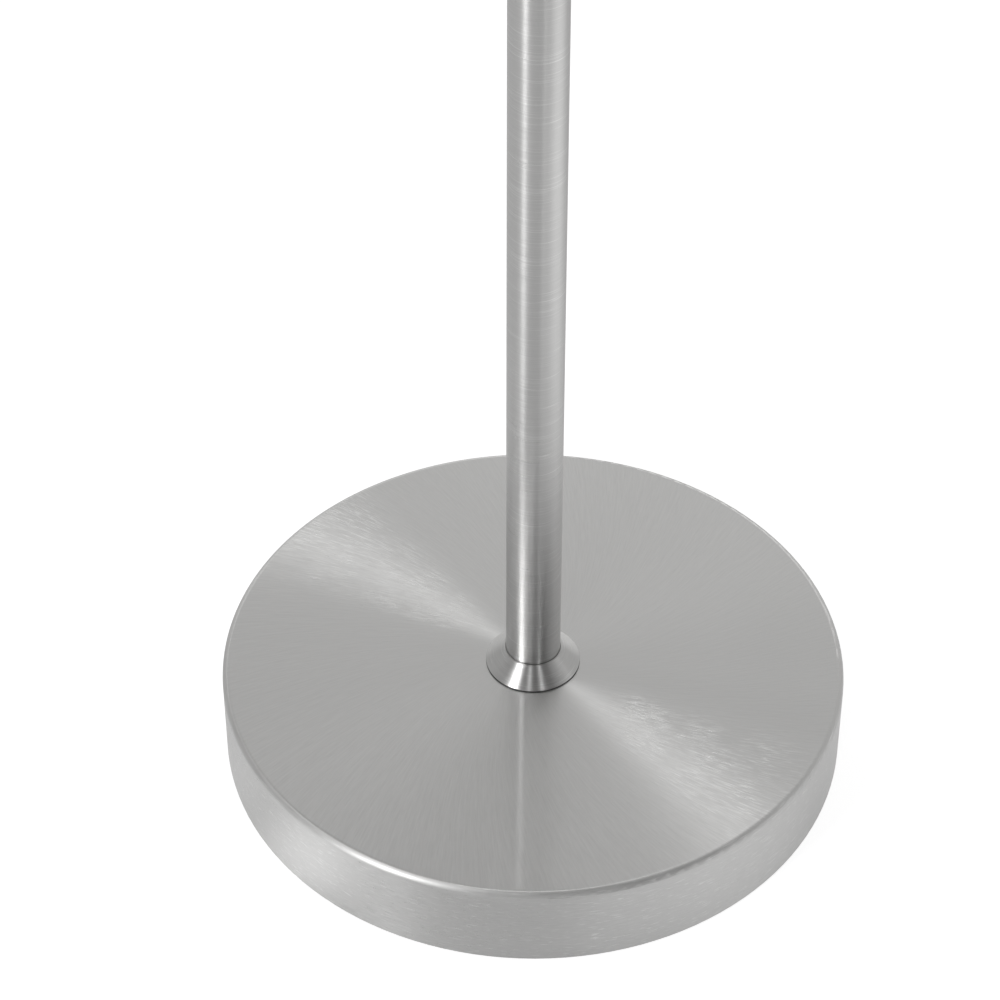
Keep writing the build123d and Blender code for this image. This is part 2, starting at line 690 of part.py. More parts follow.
def shade_ring():
    """Threaded ring with finger grips that clamps the bowl down on the lampholder."""
    flange = RING_FLANGE_DIAMETER / 2
    bore = socket_skirt_radius
    barrel = bore + RING_WALL
    flange_top = ring_bottom + RING_FLANGE
    top = ring_bottom + RING_HEIGHT
    body = turned(
        (bore, ring_bottom), (flange, ring_bottom), (flange, flange_top - 2 * EDGE_BREAK),
        (flange - 2 * EDGE_BREAK, flange_top), (barrel, flange_top), (barrel, top - EDGE_BREAK),
        (barrel - EDGE_BREAK, top), (bore, top),
    )
    grip = Cylinder(RING_GRIP_DIAMETER / 2, 2 * RING_HEIGHT)
    grips = [
        Pos(0, 0, flange_top + RING_HEIGHT) * place * grip
        for place in PolarLocations(barrel + RING_GRIP_DIAMETER / 4, RING_GRIPS)
    ]
    return body - grips


# ---------------------------------------------------------------- bulb
def bulb_tip():
    """Solder contact in the middle of the cap's end."""
    tip = BULB_TIP_DIAMETER / 2
    rounding = BULB_TIP_HEIGHT / 2
    return turned(
        (0, bulb_bottom), (tip - rounding, bulb_bottom), (tip, bulb_bottom + rounding),
        (tip, bulb_bottom + BULB_TIP_HEIGHT), (0, bulb_bottom + BULB_TIP_HEIGHT),
    )


def bulb_insulator():
    """Black cone between the tip and the cap."""
    low = bulb_bottom + BULB_TIP_HEIGHT
    tip = BULB_TIP_DIAMETER / 2 + EDGE_BREAK
    return turned((0, low), (tip, low), (cap_radius - 3 * EDGE_BREAK, cap_bottom), (0, cap_bottom))


def bulb_cap():
    """Metal E26 cap, open at the top where the plastic body is pressed in."""
    inner = cap_radius - CAP_WALL
    return turned(
        (0, cap_bottom), (cap_radius - 2 * EDGE_BREAK, cap_bottom), (cap_radius, cap_bottom + 2 * EDGE_BREAK),
        (cap_radius, cap_top), (inner, cap_top), (inner, cap_bottom + CAP_WALL), (0, cap_bottom + CAP_WALL),
    )


def bulb_body():
    """White plastic body that widens from the cap to the dome, with a spigot in the cap."""
    neck = BULB_NECK_DIAMETER / 2
    neck_top = cap_top + BULB_NECK_LENGTH
    spigot = cap_radius - CAP_WALL
    wall = BULB_WALL
    outline = [
        Line((spigot - wall, cap_top - CAP_LENGTH / 2), (spigot, cap_top - CAP_LENGTH / 2)),
        Line((spigot, cap_top - CAP_LENGTH / 2), (spigot, cap_top)),
        Line((spigot, cap_top), (neck, cap_top)),
        Line((neck, cap_top), (neck, neck_top)),
        Spline((neck, neck_top), (bulb_radius, bulb_shoulder), tangents=[(0.5, 1), (0.25, 1)]),
        Line((bulb_radius, bulb_shoulder), (bulb_radius - wall, bulb_shoulder)),
        Line((bulb_radius - wall, bulb_shoulder), (bulb_radius - wall, board_bottom)),
        Spline((bulb_radius - wall, board_bottom), (spigot - wall, neck_top), tangents=[(-0.25, -1), (-0.5, -1)]),
        Line((spigot - wall, neck_top), (spigot - wall, cap_top - CAP_LENGTH / 2)),
    ]
    return turned_face(outline)


def bulb_led_board():
    """Round metal-core board with a ring of LED chips, on a plate pressed into the body's rim."""
    plate = rod(bulb_radius - BULB_WALL, board_bottom, bulb_shoulder)
    board_top = bulb_shoulder + BOARD_THICKNESS
    board = rod(BOARD_DIAMETER / 2, bulb_shoulder, board_top)
    chip = Box(CHIP_SIZE, CHIP_SIZE, CHIP_THICKNESS)
    chip_level = board_top + CHIP_THICKNESS / 2
    body = plate + board
    for place in PolarLocations(CHIP_RING_DIAMETER / 2, CHIP_COUNT):
        body += Pos(0, 0, chip_level) * place * chip
    return body


def bulb_dome():
    """Opal plastic dome: upright from the body up, then half a ball."""
    spring = bulb_top - bulb_radius
    inner = bulb_radius - BULB_WALL
    half_ball = math.sqrt(0.5)
    outline = [
        Line((inner, bulb_shoulder), (bulb_radius, bulb_shoulder)),
        Line((bulb_radius, bulb_shoulder), (bulb_radius, spring)),
        ThreePointArc(
            (bulb_radius, spring),
            (bulb_radius * half_ball, spring + bulb_radius * half_ball),
            (0, bulb_top),
        ),
        Line((0, bulb_top), (0, bulb_top - BULB_WALL)),
        ThreePointArc(
            (0, bulb_top - BULB_WALL),
            (inner * half_ball, spring + inner * half_ball),
            (inner, spring),
        ),
        Line((inner, spring), (inner, bulb_shoulder)),
    ]
    return turned_face(outline)


# ---------------------------------------------------------------- dimmer
def dimmer_can():
    """Body of the rotary dimmer, behind the front wall of the cup."""
    body = level_rod(can_radius, can_rear, can_front, dimmer_level)
    cavity = level_rod(shaft_radius + SLIP_GAP, can_rear + CAN_REAR_WALL, can_front + 1, dimmer_level)
    return body - cavity


def dimmer_bushing():
    """Threaded bushing that the shaft turns in. It passes through the cup's wall."""
    body = level_rod(BUSHING_DIAMETER / 2, can_front, bushing_front, dimmer_level)
    return body - level_rod(shaft_radius + RUNNING_GAP, can_front - 1, bushing_front + 1, dimmer_level)


def dimmer_bezel():
    """Turned ring with a saddle back, so that the nut has a flat face to pull on."""
    body = level_rod(BEZEL_DIAMETER / 2, cup_radius / 2, bezel_front, dimmer_level)
    body -= level_rod(BUSHING_DIAMETER / 2 + SLIP_GAP, 0, bezel_front + 1, dimmer_level)
    return body - rod(cup_radius, cup_bottom - CUP_HEIGHT, cup_top)


def dimmer_nut():
    nut = hex_nut(PANEL_NUT_ACROSS_FLATS, PANEL_NUT_THICKNESS, BUSHING_DIAMETER / 2)
    middle = (bezel_front + panel_nut_front) / 2
    return Pos(0, -middle, dimmer_level) * Rot(90, 0, 0) * nut


def shaft_profile(radius):
    """Round section with one flat, in the XZ plane."""
    flat = Pos(0, 2 * radius - SHAFT_FLAT) * Rectangle(4 * radius, 2 * radius)
    return Circle(radius) - flat


def dimmer_shaft():
    """Steel shaft, flatted where the knob fits on it."""
    round_part = level_rod(shaft_radius, shaft_rear, bushing_front + SLIP_GAP, dimmer_level)
    start = Plane(origin=(0, -bushing_front - SLIP_GAP, dimmer_level), x_dir=(1, 0, 0), z_dir=(0, -1, 0))
    return round_part + extrude(start * shaft_profile(shaft_radius), shaft_front - bushing_front - SLIP_GAP)


def dimmer_knob():
    """Fluted metal knob with a skirt over the nut and a pointer line down its front."""
    radius = KNOB_DIAMETER / 2
    edge = KNOB_EDGE_RADIUS
    outline = [
        Line((0, 0), (radius, 0)),
        Line((radius, 0), (radius, KNOB_LENGTH - edge)),
        RadiusArc((radius, KNOB_LENGTH - edge), (radius - edge, KNOB_LENGTH), -edge),
        Line((radius - edge, KNOB_LENGTH), (0, KNOB_LENGTH)),
        Line((0, KNOB_LENGTH), (0, 0)),
    ]
    body = turned_face(outline)
    recess = bushing_front + 2 * KNOB_GAP - knob_rear
    body -= Pos(0, 0, recess / 2) * Cylinder(KNOB_RECESS_DIAMETER / 2, recess)
    body -= extrude(shaft_profile(shaft_radius), shaft_front - knob_rear)
    flute = Cylinder(KNOB_FLUTE_DIAMETER / 2, KNOB_LENGTH)
    start = Pos(0, 0, KNOB_LENGTH / 2 + 2 * KNOB_EDGE_RADIUS)
    body -= [start * place * flute for place in PolarLocations(radius, KNOB_FLUTES)]
    pointer = Box(POINTER_WIDTH, radius, 2 * POINTER_DEPTH)
    body -= Pos(0, radius * (POINTER_START + 0.5), KNOB_LENGTH) * pointer
    body -= Pos(0, 0, (recess + shaft_front - knob_rear) / 2) * set_screw_hole()
    return Pos(0, -knob_rear, dimmer_level) * Rot(90, 0, 0) * body


def set_screw_hole():
    length = KNOB_DIAMETER
    return Pos(0, length / 2, 0) * Rot(90, 0, 0) * Cylinder(SET_SCREW_DIAMETER / 2, length)


def knob_set_screw():
    """Grub screw in the side of the knob, down on the shaft's flat."""
    recess = bushing_front + 2 * KNOB_GAP - knob_rear
    y = -knob_rear - (recess + shaft_front - knob_rear) / 2
    low = dimmer_level + shaft_radius - SHAFT_FLAT
    high = dimmer_level + KNOB_DIAMETER / 2 - KNOB_FLUTE_DIAMETER
    screw = rod(SET_SCREW_DIAMETER / 2, low, high, y=y)
    slot = Pos(0, y, high) * Box(2 * SET_SCREW_DIAMETER, SET_SCREW_SLOT, 2 * SET_SCREW_SLOT_DEPTH)
    return screw - slot


# ---------------------------------------------------------------- lead and wires
lead_end = head_nipple_top + NIPPLE_STICKS_OUT
wire_start = lead_end


def pole_lead():
    """Round two-core lead: from behind the cord bush, under the weight and up the whole pole."""
    start = bush_inner_face - LEAD_START_GAP
    bend_start = start - LEAD_DIAMETER
    bend_end = bend_start - LEAD_DROP_LENGTH
    points = [
        (0, start, BUSH_HEIGHT), (0, bend_start, BUSH_HEIGHT), (0, bend_end, lead_level),
        (0, 0, lead_level), (0, 0, lead_end),
    ]
    return wire_tube(points, LEAD_DIAMETER, [LEAD_DROP_RADIUS, LEAD_DROP_RADIUS, LEAD_BEND_RADIUS])


def live_wire():
    """Black core from the lead to the dimmer."""
    x = -WIRE_SPACING / 2
    terminal_x = -WIRE_TERMINAL_SPACING / 2
    points = [
        (x, 0, wire_start), (x, 0, dimmer_level), (terminal_x, -can_rear / 2, dimmer_level),
        (terminal_x, -can_rear, dimmer_level),
    ]
    return wire_tube(points, WIRE_DIAMETER, [WIRE_BEND_RADIUS, WIRE_BEND_RADIUS])


def switch_wire():
    """Black core from the dimmer to the lampholder's tongue."""
    x = WIRE_TERMINAL_SPACING / 2
    rise_y = -can_rear / 2
    points = [
        (x, -can_rear, dimmer_level), (x, rise_y, dimmer_level), (x, rise_y, socket_bottom),
    ]
    return wire_tube(points, WIRE_DIAMETER, [WIRE_BEND_RADIUS])


def neutral_wire():
    """White core from the lead to the lampholder's screw shell."""
    x = WIRE_SPACING / 2
    middle = (wire_start + socket_bottom) / 2
    rise_y = SOCKET_BASE_DIAMETER / 4
    points = [
        (x, 0, wire_start), (x, 0, middle - WIRE_DIAMETER), (x, rise_y, middle + WIRE_DIAMETER),
        (x, rise_y, socket_bottom),
    ]
    return wire_tube(points, WIRE_DIAMETER, [WIRE_BEND_RADIUS, WIRE_BEND_RADIUS])


# ---------------------------------------------------------------- the assembly
PIECES = {
    "felt_pad": felt_pad,
    "base_weight": base_weight,
    "base_cover": base_cover,
    "cord_bush": cord_bush,
    "base_nipple": base_nipple,
    "foot_nut": foot_nut,
    "foot_lock_washer": foot_lock_washer,
    "foot_washer": foot_washer,
    "foot_collar": foot_collar,
    "foot_bush": foot_bush,
    "lower_tube": lambda: pole_tube(0),
    "lower_joint_socket": lambda: joint_socket(0),
    "middle_joint_stud": lambda: joint_stud(1),
    "middle_tube": lambda: pole_tube(1),
    "middle_joint_socket": lambda: joint_socket(1),
    "upper_joint_stud": lambda: joint_stud(2),
    "upper_tube": lambda: pole_tube(2),
    "head_bush": head_bush,
    "neck_collar": neck_collar,
    "head_nipple": head_nipple,
    "head_cup": head_cup,
    "socket_bracket": socket_bracket,
    "head_lock_washer": head_lock_washer,
    "head_nut": head_nut,
    "bracket_screws": bracket_screws,
    "lampholder": lampholder,
    "screw_shell": screw_shell,
    "contact_tongue": contact_tongue,
    "contact_rivet": contact_rivet,
    "bowl_tray": bowl_tray,
    "lower_gasket": lower_gasket,
    "glass_bowl": glass_bowl,
    "upper_gasket": upper_gasket,
    "shade_ring": shade_ring,
    "bulb_tip": bulb_tip,
    "bulb_insulator": bulb_insulator,
    "bulb_cap": bulb_cap,
    "bulb_body": bulb_body,
    "bulb_led_board": bulb_led_board,
    "bulb_dome": bulb_dome,
    "dimmer_can": dimmer_can,
    "dimmer_bushing": dimmer_bushing,
    "dimmer_bezel": dimmer_bezel,
    "dimmer_nut": dimmer_nut,
    "dimmer_shaft": dimmer_shaft,
    "dimmer_knob": dimmer_knob,
    "knob_set_screw": knob_set_screw,
    "pole_lead": pole_lead,
    "live_wire": live_wire,
    "switch_wire": switch_wire,
    "neutral_wire": neutral_wire,
}

os.makedirs("parts", exist_ok=True)
for name, make in PIECES.items():
    export_step(make(), f"parts/{name}.step")
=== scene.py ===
"""Brushed steel torchiere floor lamp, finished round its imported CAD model. Metres, +Z up."""

import math

import bmesh
import bpy
from mathutils import Matrix, Vector


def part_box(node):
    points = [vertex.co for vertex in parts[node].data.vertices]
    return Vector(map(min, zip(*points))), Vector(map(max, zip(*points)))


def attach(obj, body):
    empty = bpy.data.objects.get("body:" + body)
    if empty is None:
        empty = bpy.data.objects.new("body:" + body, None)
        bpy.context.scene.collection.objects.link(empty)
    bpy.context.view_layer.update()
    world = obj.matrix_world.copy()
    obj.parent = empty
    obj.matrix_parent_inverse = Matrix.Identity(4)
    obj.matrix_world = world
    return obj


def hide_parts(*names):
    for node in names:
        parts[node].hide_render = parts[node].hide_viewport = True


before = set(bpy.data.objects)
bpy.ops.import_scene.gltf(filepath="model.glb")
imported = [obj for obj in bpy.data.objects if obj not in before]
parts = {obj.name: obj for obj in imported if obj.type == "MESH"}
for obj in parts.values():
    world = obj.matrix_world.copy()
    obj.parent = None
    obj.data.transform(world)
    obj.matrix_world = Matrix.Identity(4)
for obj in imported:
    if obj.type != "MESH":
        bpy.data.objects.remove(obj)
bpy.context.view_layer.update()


# ---------------------------------------------------------------- room
# A white floor under a white sky, with pools of light painted into the floor's glow that only
# the steel mirrors. Tall soft boxes on both sides draw the lines down the pole, a small one high
# up makes the two fans on the base, and a small one in front lights the base's front edge.
class Amount:
    """A number or direction that changes over a surface. Sums written on it add Math nodes."""

    def __init__(self, nodes, socket):
        self.nodes = nodes
        self.socket = socket

    def __add__(self, other):
        return self.nodes.sum("ADD", self, other)

    def __radd__(self, other):
        return self.nodes.sum("ADD", other, self)

    def __sub__(self, other):
        return self.nodes.sum("SUBTRACT", self, other)

    def __rsub__(self, other):
        return self.nodes.sum("SUBTRACT", other, self)

    def __mul__(self, other):
        return self.nodes.sum("MULTIPLY", self, other)

    def __rmul__(self, other):
        return self.nodes.sum("MULTIPLY", other, self)

    def __truediv__(self, other):
        return self.nodes.sum("DIVIDE", self, other)

    def __pow__(self, other):
        return self.nodes.sum("POWER", self, other)


class Nodes:
    """A node tree and the one way that anything is added to it."""

    def __init__(self, tree):
        self.tree = tree

    def add(self, kind, settings=None, sockets=None, output=0):
        """A node of that kind: settings first, then what its sockets hold or are linked to.
        output names the socket handed back, or is None for the node itself."""
        node = self.tree.nodes.new(kind)
        for name, value in (settings or {}).items():
            setattr(node, name, value)
        for name, value in (sockets or {}).items():
            if isinstance(value, Amount):
                self.tree.links.new(value.socket, node.inputs[name])
            else:
                node.inputs[name].default_value = value
        return node if output is None else Amount(self, node.outputs[output])

    def sum(self, operation, first, second=0.0):
        return self.add("ShaderNodeMath", {"operation": operation}, {0: first, 1: second})

    def between(self, value, low, high, to_low=0.0, to_high=1.0, way="LINEAR"):
        """value, spread from low..high to to_low..to_high and held at both ends."""
        return self.add("ShaderNodeMapRange", {"clamp": True, "interpolation_type": way}, {
            "Value": value, "From Min": low, "From Max": high, "To Min": to_low, "To Max": to_high,
        })

    def split(self, direction):
        """The x, y and z of a place or direction."""
        node = self.add("ShaderNodeSeparateXYZ", {}, {"Vector": direction}, output=None)
        return [Amount(self, node.outputs[letter]) for letter in "XYZ"]


scene = bpy.context.scene
scene.view_settings.view_transform = "Standard"
scene.view_settings.look = "None"

FLOOR_HALF = 6.0
FLOOR_GREY = 0.34
FLOOR_ROUGHNESS = 0.9
FLOOR_SHINE = 0.1
FLOOR_GLOW_SEEN = 0.86      # what the floor gives off, seen straight and seen in the steel
FLOOR_GLOW_MIRRORED = 0.385
# Pools of light painted into the floor's glow beside the base, seen only in the steel: middle,
# reach and strength.
FLOOR_POOLS = (
    ((-0.114, -0.098, 0.0), 0.049, 0.62),
    ((-0.160, -0.050, 0.0), 0.09, 0.23),
    ((0.110, -0.155, 0.0), 0.12, 0.19),
    ((0.550, -0.150, 0.0), 0.60, 0.70),
)

floor_mesh = bpy.data.meshes.new("floor")
floor_mesh.from_pydata(
    [
        (-FLOOR_HALF, -FLOOR_HALF, 0), (FLOOR_HALF, -FLOOR_HALF, 0),
        (FLOOR_HALF, FLOOR_HALF, 0), (-FLOOR_HALF, FLOOR_HALF, 0),
    ],
    [], [(0, 1, 2, 3)],
)
floor = bpy.data.objects.new("floor", floor_mesh)
scene.collection.objects.link(floor)

floor_paint = bpy.data.materials.new("floor_paint")
floor_paint.use_nodes = True
floor_nodes = Nodes(floor_paint.node_tree)
floor_place = floor_nodes.add("ShaderNodeTexCoord", output="Object")
floor_glow = FLOOR_GLOW_MIRRORED
for middle, reach, extra in FLOOR_POOLS:
    gap = floor_nodes.add(
        "ShaderNodeVectorMath", {"operation": "DISTANCE"}, {0: floor_place, 1: middle},
        output="Value",
    )
    floor_glow = floor_nodes.between(gap, 0.0, reach, extra, 0.0, "SMOOTHSTEP") + floor_glow
floor_seen = floor_nodes.add("ShaderNodeLightPath", output="Is Camera Ray")
floor_shader = floor_paint.node_tree.nodes["Principled BSDF"]
floor_shader.inputs["Base Color"].default_value = (FLOOR_GREY, FLOOR_GREY, FLOOR_GREY, 1)
floor_shader.inputs["Roughness"].default_value = FLOOR_ROUGHNESS
floor_shader.inputs["Specular IOR Level"].default_value = FLOOR_SHINE
floor_shader.inputs["Emission Color"].default_value = (1, 1, 1, 1)
floor_paint.node_tree.links.new(
    floor_nodes.between(floor_seen, 0.0, 1.0, floor_glow, FLOOR_GLOW_SEEN).socket,
    floor_shader.inputs["Emission Strength"],
)
floor_mesh.materials.append(floor_paint)

# Lamps: name, place, what it faces, width, height and power.
SOFT_BOXES = (
    ("left_box", (-1.71, -1.655, 1.10), (0, 0, 0.5), 0.58, 2.1, 37),
    ("right_box", (2.6, -0.9, 0.45), (0, 0, 0.4), 2.2, 0.8, 4),
    ("slim_box", (0.86, -2.2, 1.1), (0, 0, 0.5), 0.07, 2.1, 4),
    ("high_box", (-1.17, 0.13, 2.98), (0, 0, 0), 0.3, 0.3, 8),
    ("front_box", (-0.24, -1.36, 1.42), (0, 0, 0), 0.10, 0.30, 1.2),
)
for name, place, faces, width, height, power in SOFT_BOXES:
    light = bpy.data.lights.new(name, "AREA")
    light.shape = "RECTANGLE"
    light.size = width
    light.size_y = height
    light.energy = power
    lamp_stand = bpy.data.objects.new(name, light)
    lamp_stand.location = place
    way = Vector(faces) - Vector(place)
    lamp_stand.rotation_euler = way.to_track_quat("-Z", "Y").to_euler()
    scene.collection.objects.link(lamp_stand)

SKY_COLOUR = (1.0, 0.998, 0.990, 1.0)
SKY_SEEN = 1.0              # the sky is white wherever it is seen straight
SKY_NEAR, SKY_FAR = 0.05, 0.52      # how strong it is on the camera's side and behind the lamp
SKY_FAR_LOW = 0.52          # how much stronger it gets low down behind the lamp
SKY_LEFT, SKY_RIGHT = 0.98, 1.14    # its share of that on each side

world = bpy.data.worlds.new("studio")
scene.world = world
world.use_nodes = True
sky = Nodes(world.node_tree)
sky_x, sky_y, _ = sky.split(sky.add("ShaderNodeTexCoord", output="Generated"))
sky_mirrored = (
    sky.between(sky_y, -0.78, 0.3, SKY_NEAR, SKY_FAR, "SMOOTHSTEP")
    + sky.between(sky_y, 0.67, 0.90, 0.0, SKY_FAR_LOW)
) * sky.between(sky_x, -0.25, 0.25, SKY_LEFT, SKY_RIGHT)
sky_seen = sky.add("ShaderNodeLightPath", output="Is Camera Ray")
backdrop = world.node_tree.nodes["Background"]
backdrop.inputs["Color"].default_value = SKY_COLOUR
world.node_tree.links.new(
    sky.between(sky_seen, 0.0, 1.0, sky_mirrored, SKY_SEEN).socket, backdrop.inputs["Strength"]
)

LENS = 122.6
CAMERA_PLACE = (-0.0135, -0.9821, 1.03065)
CAMERA_PITCH = math.radians(47.38)
camera_data = bpy.data.cameras.new("camera")
camera_data.lens = LENS
camera_data.sensor_width = 36.0
camera_data.clip_start = 0.01
camera = bpy.data.objects.new("camera", camera_data)
camera.location = CAMERA_PLACE
camera.rotation_euler = (CAMERA_PITCH, 0, 0)
scene.collection.objects.link(camera)
scene.camera = camera


# ---------------------------------------------------------------- felt under the base
# A disc of charcoal wool felt, die-cut and glued under the iron weight, so that the lamp
# doesn't scratch the floor. Its cut edge is fluffy.
class Finish(Nodes):
    """A material made of nodes on the piece's own coordinates."""

    def __init__(self, name):
        self.material = bpy.data.materials.new(name)
        self.material.use_nodes = True
        super().__init__(self.material.node_tree)
        self.tree.nodes.clear()
        self.place = self.add("ShaderNodeTexCoord", output="Object")
        self.x, self.y, self.z = self.split(self.place)

    def vector(self, x, y, z):
        return self.add("ShaderNodeCombineXYZ", {}, {"X": x, "Y": y, "Z": z})

    def noise(self, where, scale=1.0, detail=2.0, rough=0.5):
        sockets = {"Vector": where, "Scale": scale, "Detail": detail, "Roughness": rough}
        return self.add("ShaderNodeTexNoise", {}, sockets, output="Fac")

    def cells(self, scale, output="Distance"):
        sockets = {"Vector": self.place, "Scale": scale}
        return self.add("ShaderNodeTexVoronoi", {}, sockets, output=output)

    def blend(self, factor, first, second):
        """A colour between two colours."""
        sockets = {0: factor, 6: first, 7: second}
        return self.add("ShaderNodeMix", {"data_type": "RGBA"}, sockets, output=2)

    def layers(self, factor, under, over):
        """Two surfaces, with the second showing where factor is 1."""
        return self.add("ShaderNodeMixShader", {}, {0: factor, 1: under, 2: over})

    def bump(self, height, distance, strength=0.5):
        sockets = {"Height": height, "Distance": distance, "Strength": strength}
        return self.add("ShaderNodeBump", {}, sockets)

    def gloss(self, sockets):
        return self.add("ShaderNodeBsdfPrincipled", {}, sockets)

    def done(self, surface):
        """The material, with that surface on it."""
        self.add("ShaderNodeOutputMaterial", {}, {"Surface": surface}, output=None)
        return self.material


def paint(material, *names):
    """Puts a finish on CAD nodes."""
    for name in names:
        parts[name].data.materials[0] = material


def colour(red, green, blue):
    return (red, green, blue, 1.0)


wool = Finish("charcoal_felt")
wool_hairs = wool.noise(wool.vector(wool.x * 900, wool.y * 260, wool.z * 900), 1.0, 3.0, 0.65)
wool_cross = wool.noise(wool.vector(wool.x * 240, wool.y * 1000, wool.z * 700), 1.0, 3.0, 0.65)
wool_nap = wool_hairs * 0.5 + wool_cross * 0.5
wool_wear = wool.between(wool.noise(wool.place, 22.0, 3.0), 0.4, 0.7)
wool_colour = wool.blend(
    wool.between(wool_nap, 0.36, 0.64), colour(0.020, 0.020, 0.022), colour(0.060, 0.059, 0.060)
)
felt_finish = wool.done(wool.gloss({
    "Base Color": wool.blend(wool_wear * 0.3, wool_colour, colour(0.085, 0.082, 0.078)),
    "Roughness": wool_wear * 0.08 + 0.88,
    "Sheen Weight": 0.35,
    "Sheen Roughness": 0.6,
    "Normal": wool.bump(wool_nap, 0.0004, 0.8),
}))

FELT_AROUND = 180
FELT_RINGS = (0.2, 0.4, 0.6, 0.8, 0.9, 0.96)
FELT_SOFT_EDGE = 0.0004
FELT_WAVE = 0.00006         # how uneven its underside is
FELT_WAVES_X, FELT_WAVES_Y = 310, 270


def turned(name, outline, around):
    """A mesh turned about Z from a closed outline of (radius, height); it has no hole where
    the outline starts and ends on the axis."""
    shape = bmesh.new()
    rings = []
    for radius, height in outline:
        if radius == 0:
            rings.append([shape.verts.new((0, 0, height))] * around)
        else:
            rings.append([
                shape.verts.new((
                    radius * math.cos(2 * math.pi * step / around),
                    radius * math.sin(2 * math.pi * step / around), height,
                ))
                for step in range(around)
            ])
    for low, high in zip(rings, rings[1:]):
        for step in range(around):
            after = (step + 1) % around
            corners = [low[step], low[after], high[after], high[step]]
            corners = [c for k, c in enumerate(corners) if c not in corners[:k]]
            if len(corners) > 2:
                shape.faces.new(corners)
    bmesh.ops.recalc_face_normals(shape, faces=shape.faces)
    mesh = bpy.data.meshes.new(name)
    shape.to_mesh(mesh)
    shape.free()
    mesh.shade_smooth()
    return mesh


felt_low, felt_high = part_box("felt_pad")
felt_radius = felt_high.x
felt_outline = [(0, felt_low.z)]
felt_outline += [(felt_radius * share, felt_low.z) for share in FELT_RINGS]
felt_outline += [
    (felt_radius - FELT_SOFT_EDGE, felt_low.z), (felt_radius, felt_low.z + FELT_SOFT_EDGE),
    (felt_radius, felt_high.z - FELT_SOFT_EDGE), (felt_radius - FELT_SOFT_EDGE, felt_high.z),
    (felt_radius * 0.5, felt_high.z), (0, felt_high.z),
]
felt_mesh = turned("felt_disc", felt_outline, FELT_AROUND)
for vertex in felt_mesh.vertices:
    if vertex.co.z < felt_low.z + FELT_SOFT_EDGE / 2:
        ripple = math.sin(vertex.co.x * FELT_WAVES_X) * math.cos(vertex.co.y * FELT_WAVES_Y)
        vertex.co.z += FELT_WAVE * (1 + ripple) / 2
felt_mesh.materials.append(felt_finish)
felt_disc = bpy.data.objects.new("felt_disc", felt_mesh)
scene.collection.objects.link(felt_disc)


WELD = 0.000002
SHARP = math.radians(38)    # edges that turn more than this stay crisp


class Jig(Nodes):
    """A geometry tree with named sizes, run to make plain meshes."""

    def __init__(self, name, sizes, counts=()):
        super().__init__(bpy.data.node_groups.new(name, "GeometryNodeTree"))
        interface = self.tree.interface
        interface.new_socket("Geometry", in_out="INPUT", socket_type="NodeSocketGeometry")
        for label in sizes:
            interface.new_socket(label, in_out="INPUT", socket_type="NodeSocketFloat")
        for label in counts:
            interface.new_socket(label, in_out="INPUT", socket_type="NodeSocketInt")
        interface.new_socket("Finish", in_out="INPUT", socket_type="NodeSocketMaterial")
        interface.new_socket("Geometry", in_out="OUTPUT", socket_type="NodeSocketGeometry")
        self.given = self.tree.nodes.new("NodeGroupInput")

    def size(self, label):
        return Amount(self, self.given.outputs[label])

    def close(self, shape):
        """Ends the tree: everything real, in the finish that is set on the piece."""
        shape = self.add("GeometryNodeRealizeInstances", {}, {0: shape})
        shape = self.add("GeometryNodeSetMaterial", {}, {
            "Geometry": shape, "Material": self.size("Finish"),
        })
        self.tree.links.new(shape.socket, self.tree.nodes.new("NodeGroupOutput").inputs[0])

    def make(self, name, finish, sizes, place=None):
        """A plain object made by the tree. place moves its mesh, not the object."""
        piece = bpy.data.objects.new(name, bpy.data.meshes.new(name))
        scene.collection.objects.link(piece)
        modifier = piece.modifiers.new(name, "NODES")
        modifier.node_group = self.tree
        for item in self.tree.interface.items_tree:
            if item.in_out == "INPUT" and item.name in sizes:
                modifier[item.identifier] = sizes[item.name]
            elif item.in_out == "INPUT" and item.name == "Finish":
                modifier[item.identifier] = finish
        graph = bpy.context.evaluated_depsgraph_get()
        made = bpy.data.meshes.new_from_object(piece.evaluated_get(graph), depsgraph=graph)
        piece.modifiers.remove(modifier)
        shape = bmesh.new()
        shape.from_mesh(made)
        bmesh.ops.remove_doubles(shape, verts=shape.verts, dist=WELD)
        loose = [edge for edge in shape.edges if not edge.link_faces]
        bmesh.ops.delete(shape, geom=loose, context="EDGES")
        bmesh.ops.recalc_face_normals(shape, faces=shape.faces)
        if place:
            bmesh.ops.transform(shape, matrix=place, verts=shape.verts)
        for edge in shape.edges:
            edge.smooth = len(edge.link_faces) == 2 and edge.calc_face_angle(0) < SHARP
        shape.to_mesh(made)
        shape.free()
        made.name = name
        for face in made.polygons:
            face.use_smooth = True
        piece.data = made
        return piece


FLUFF_COUNT = 900
FLUFF_LENGTH = 0.0007
FLUFF_THICKNESS = 0.00005

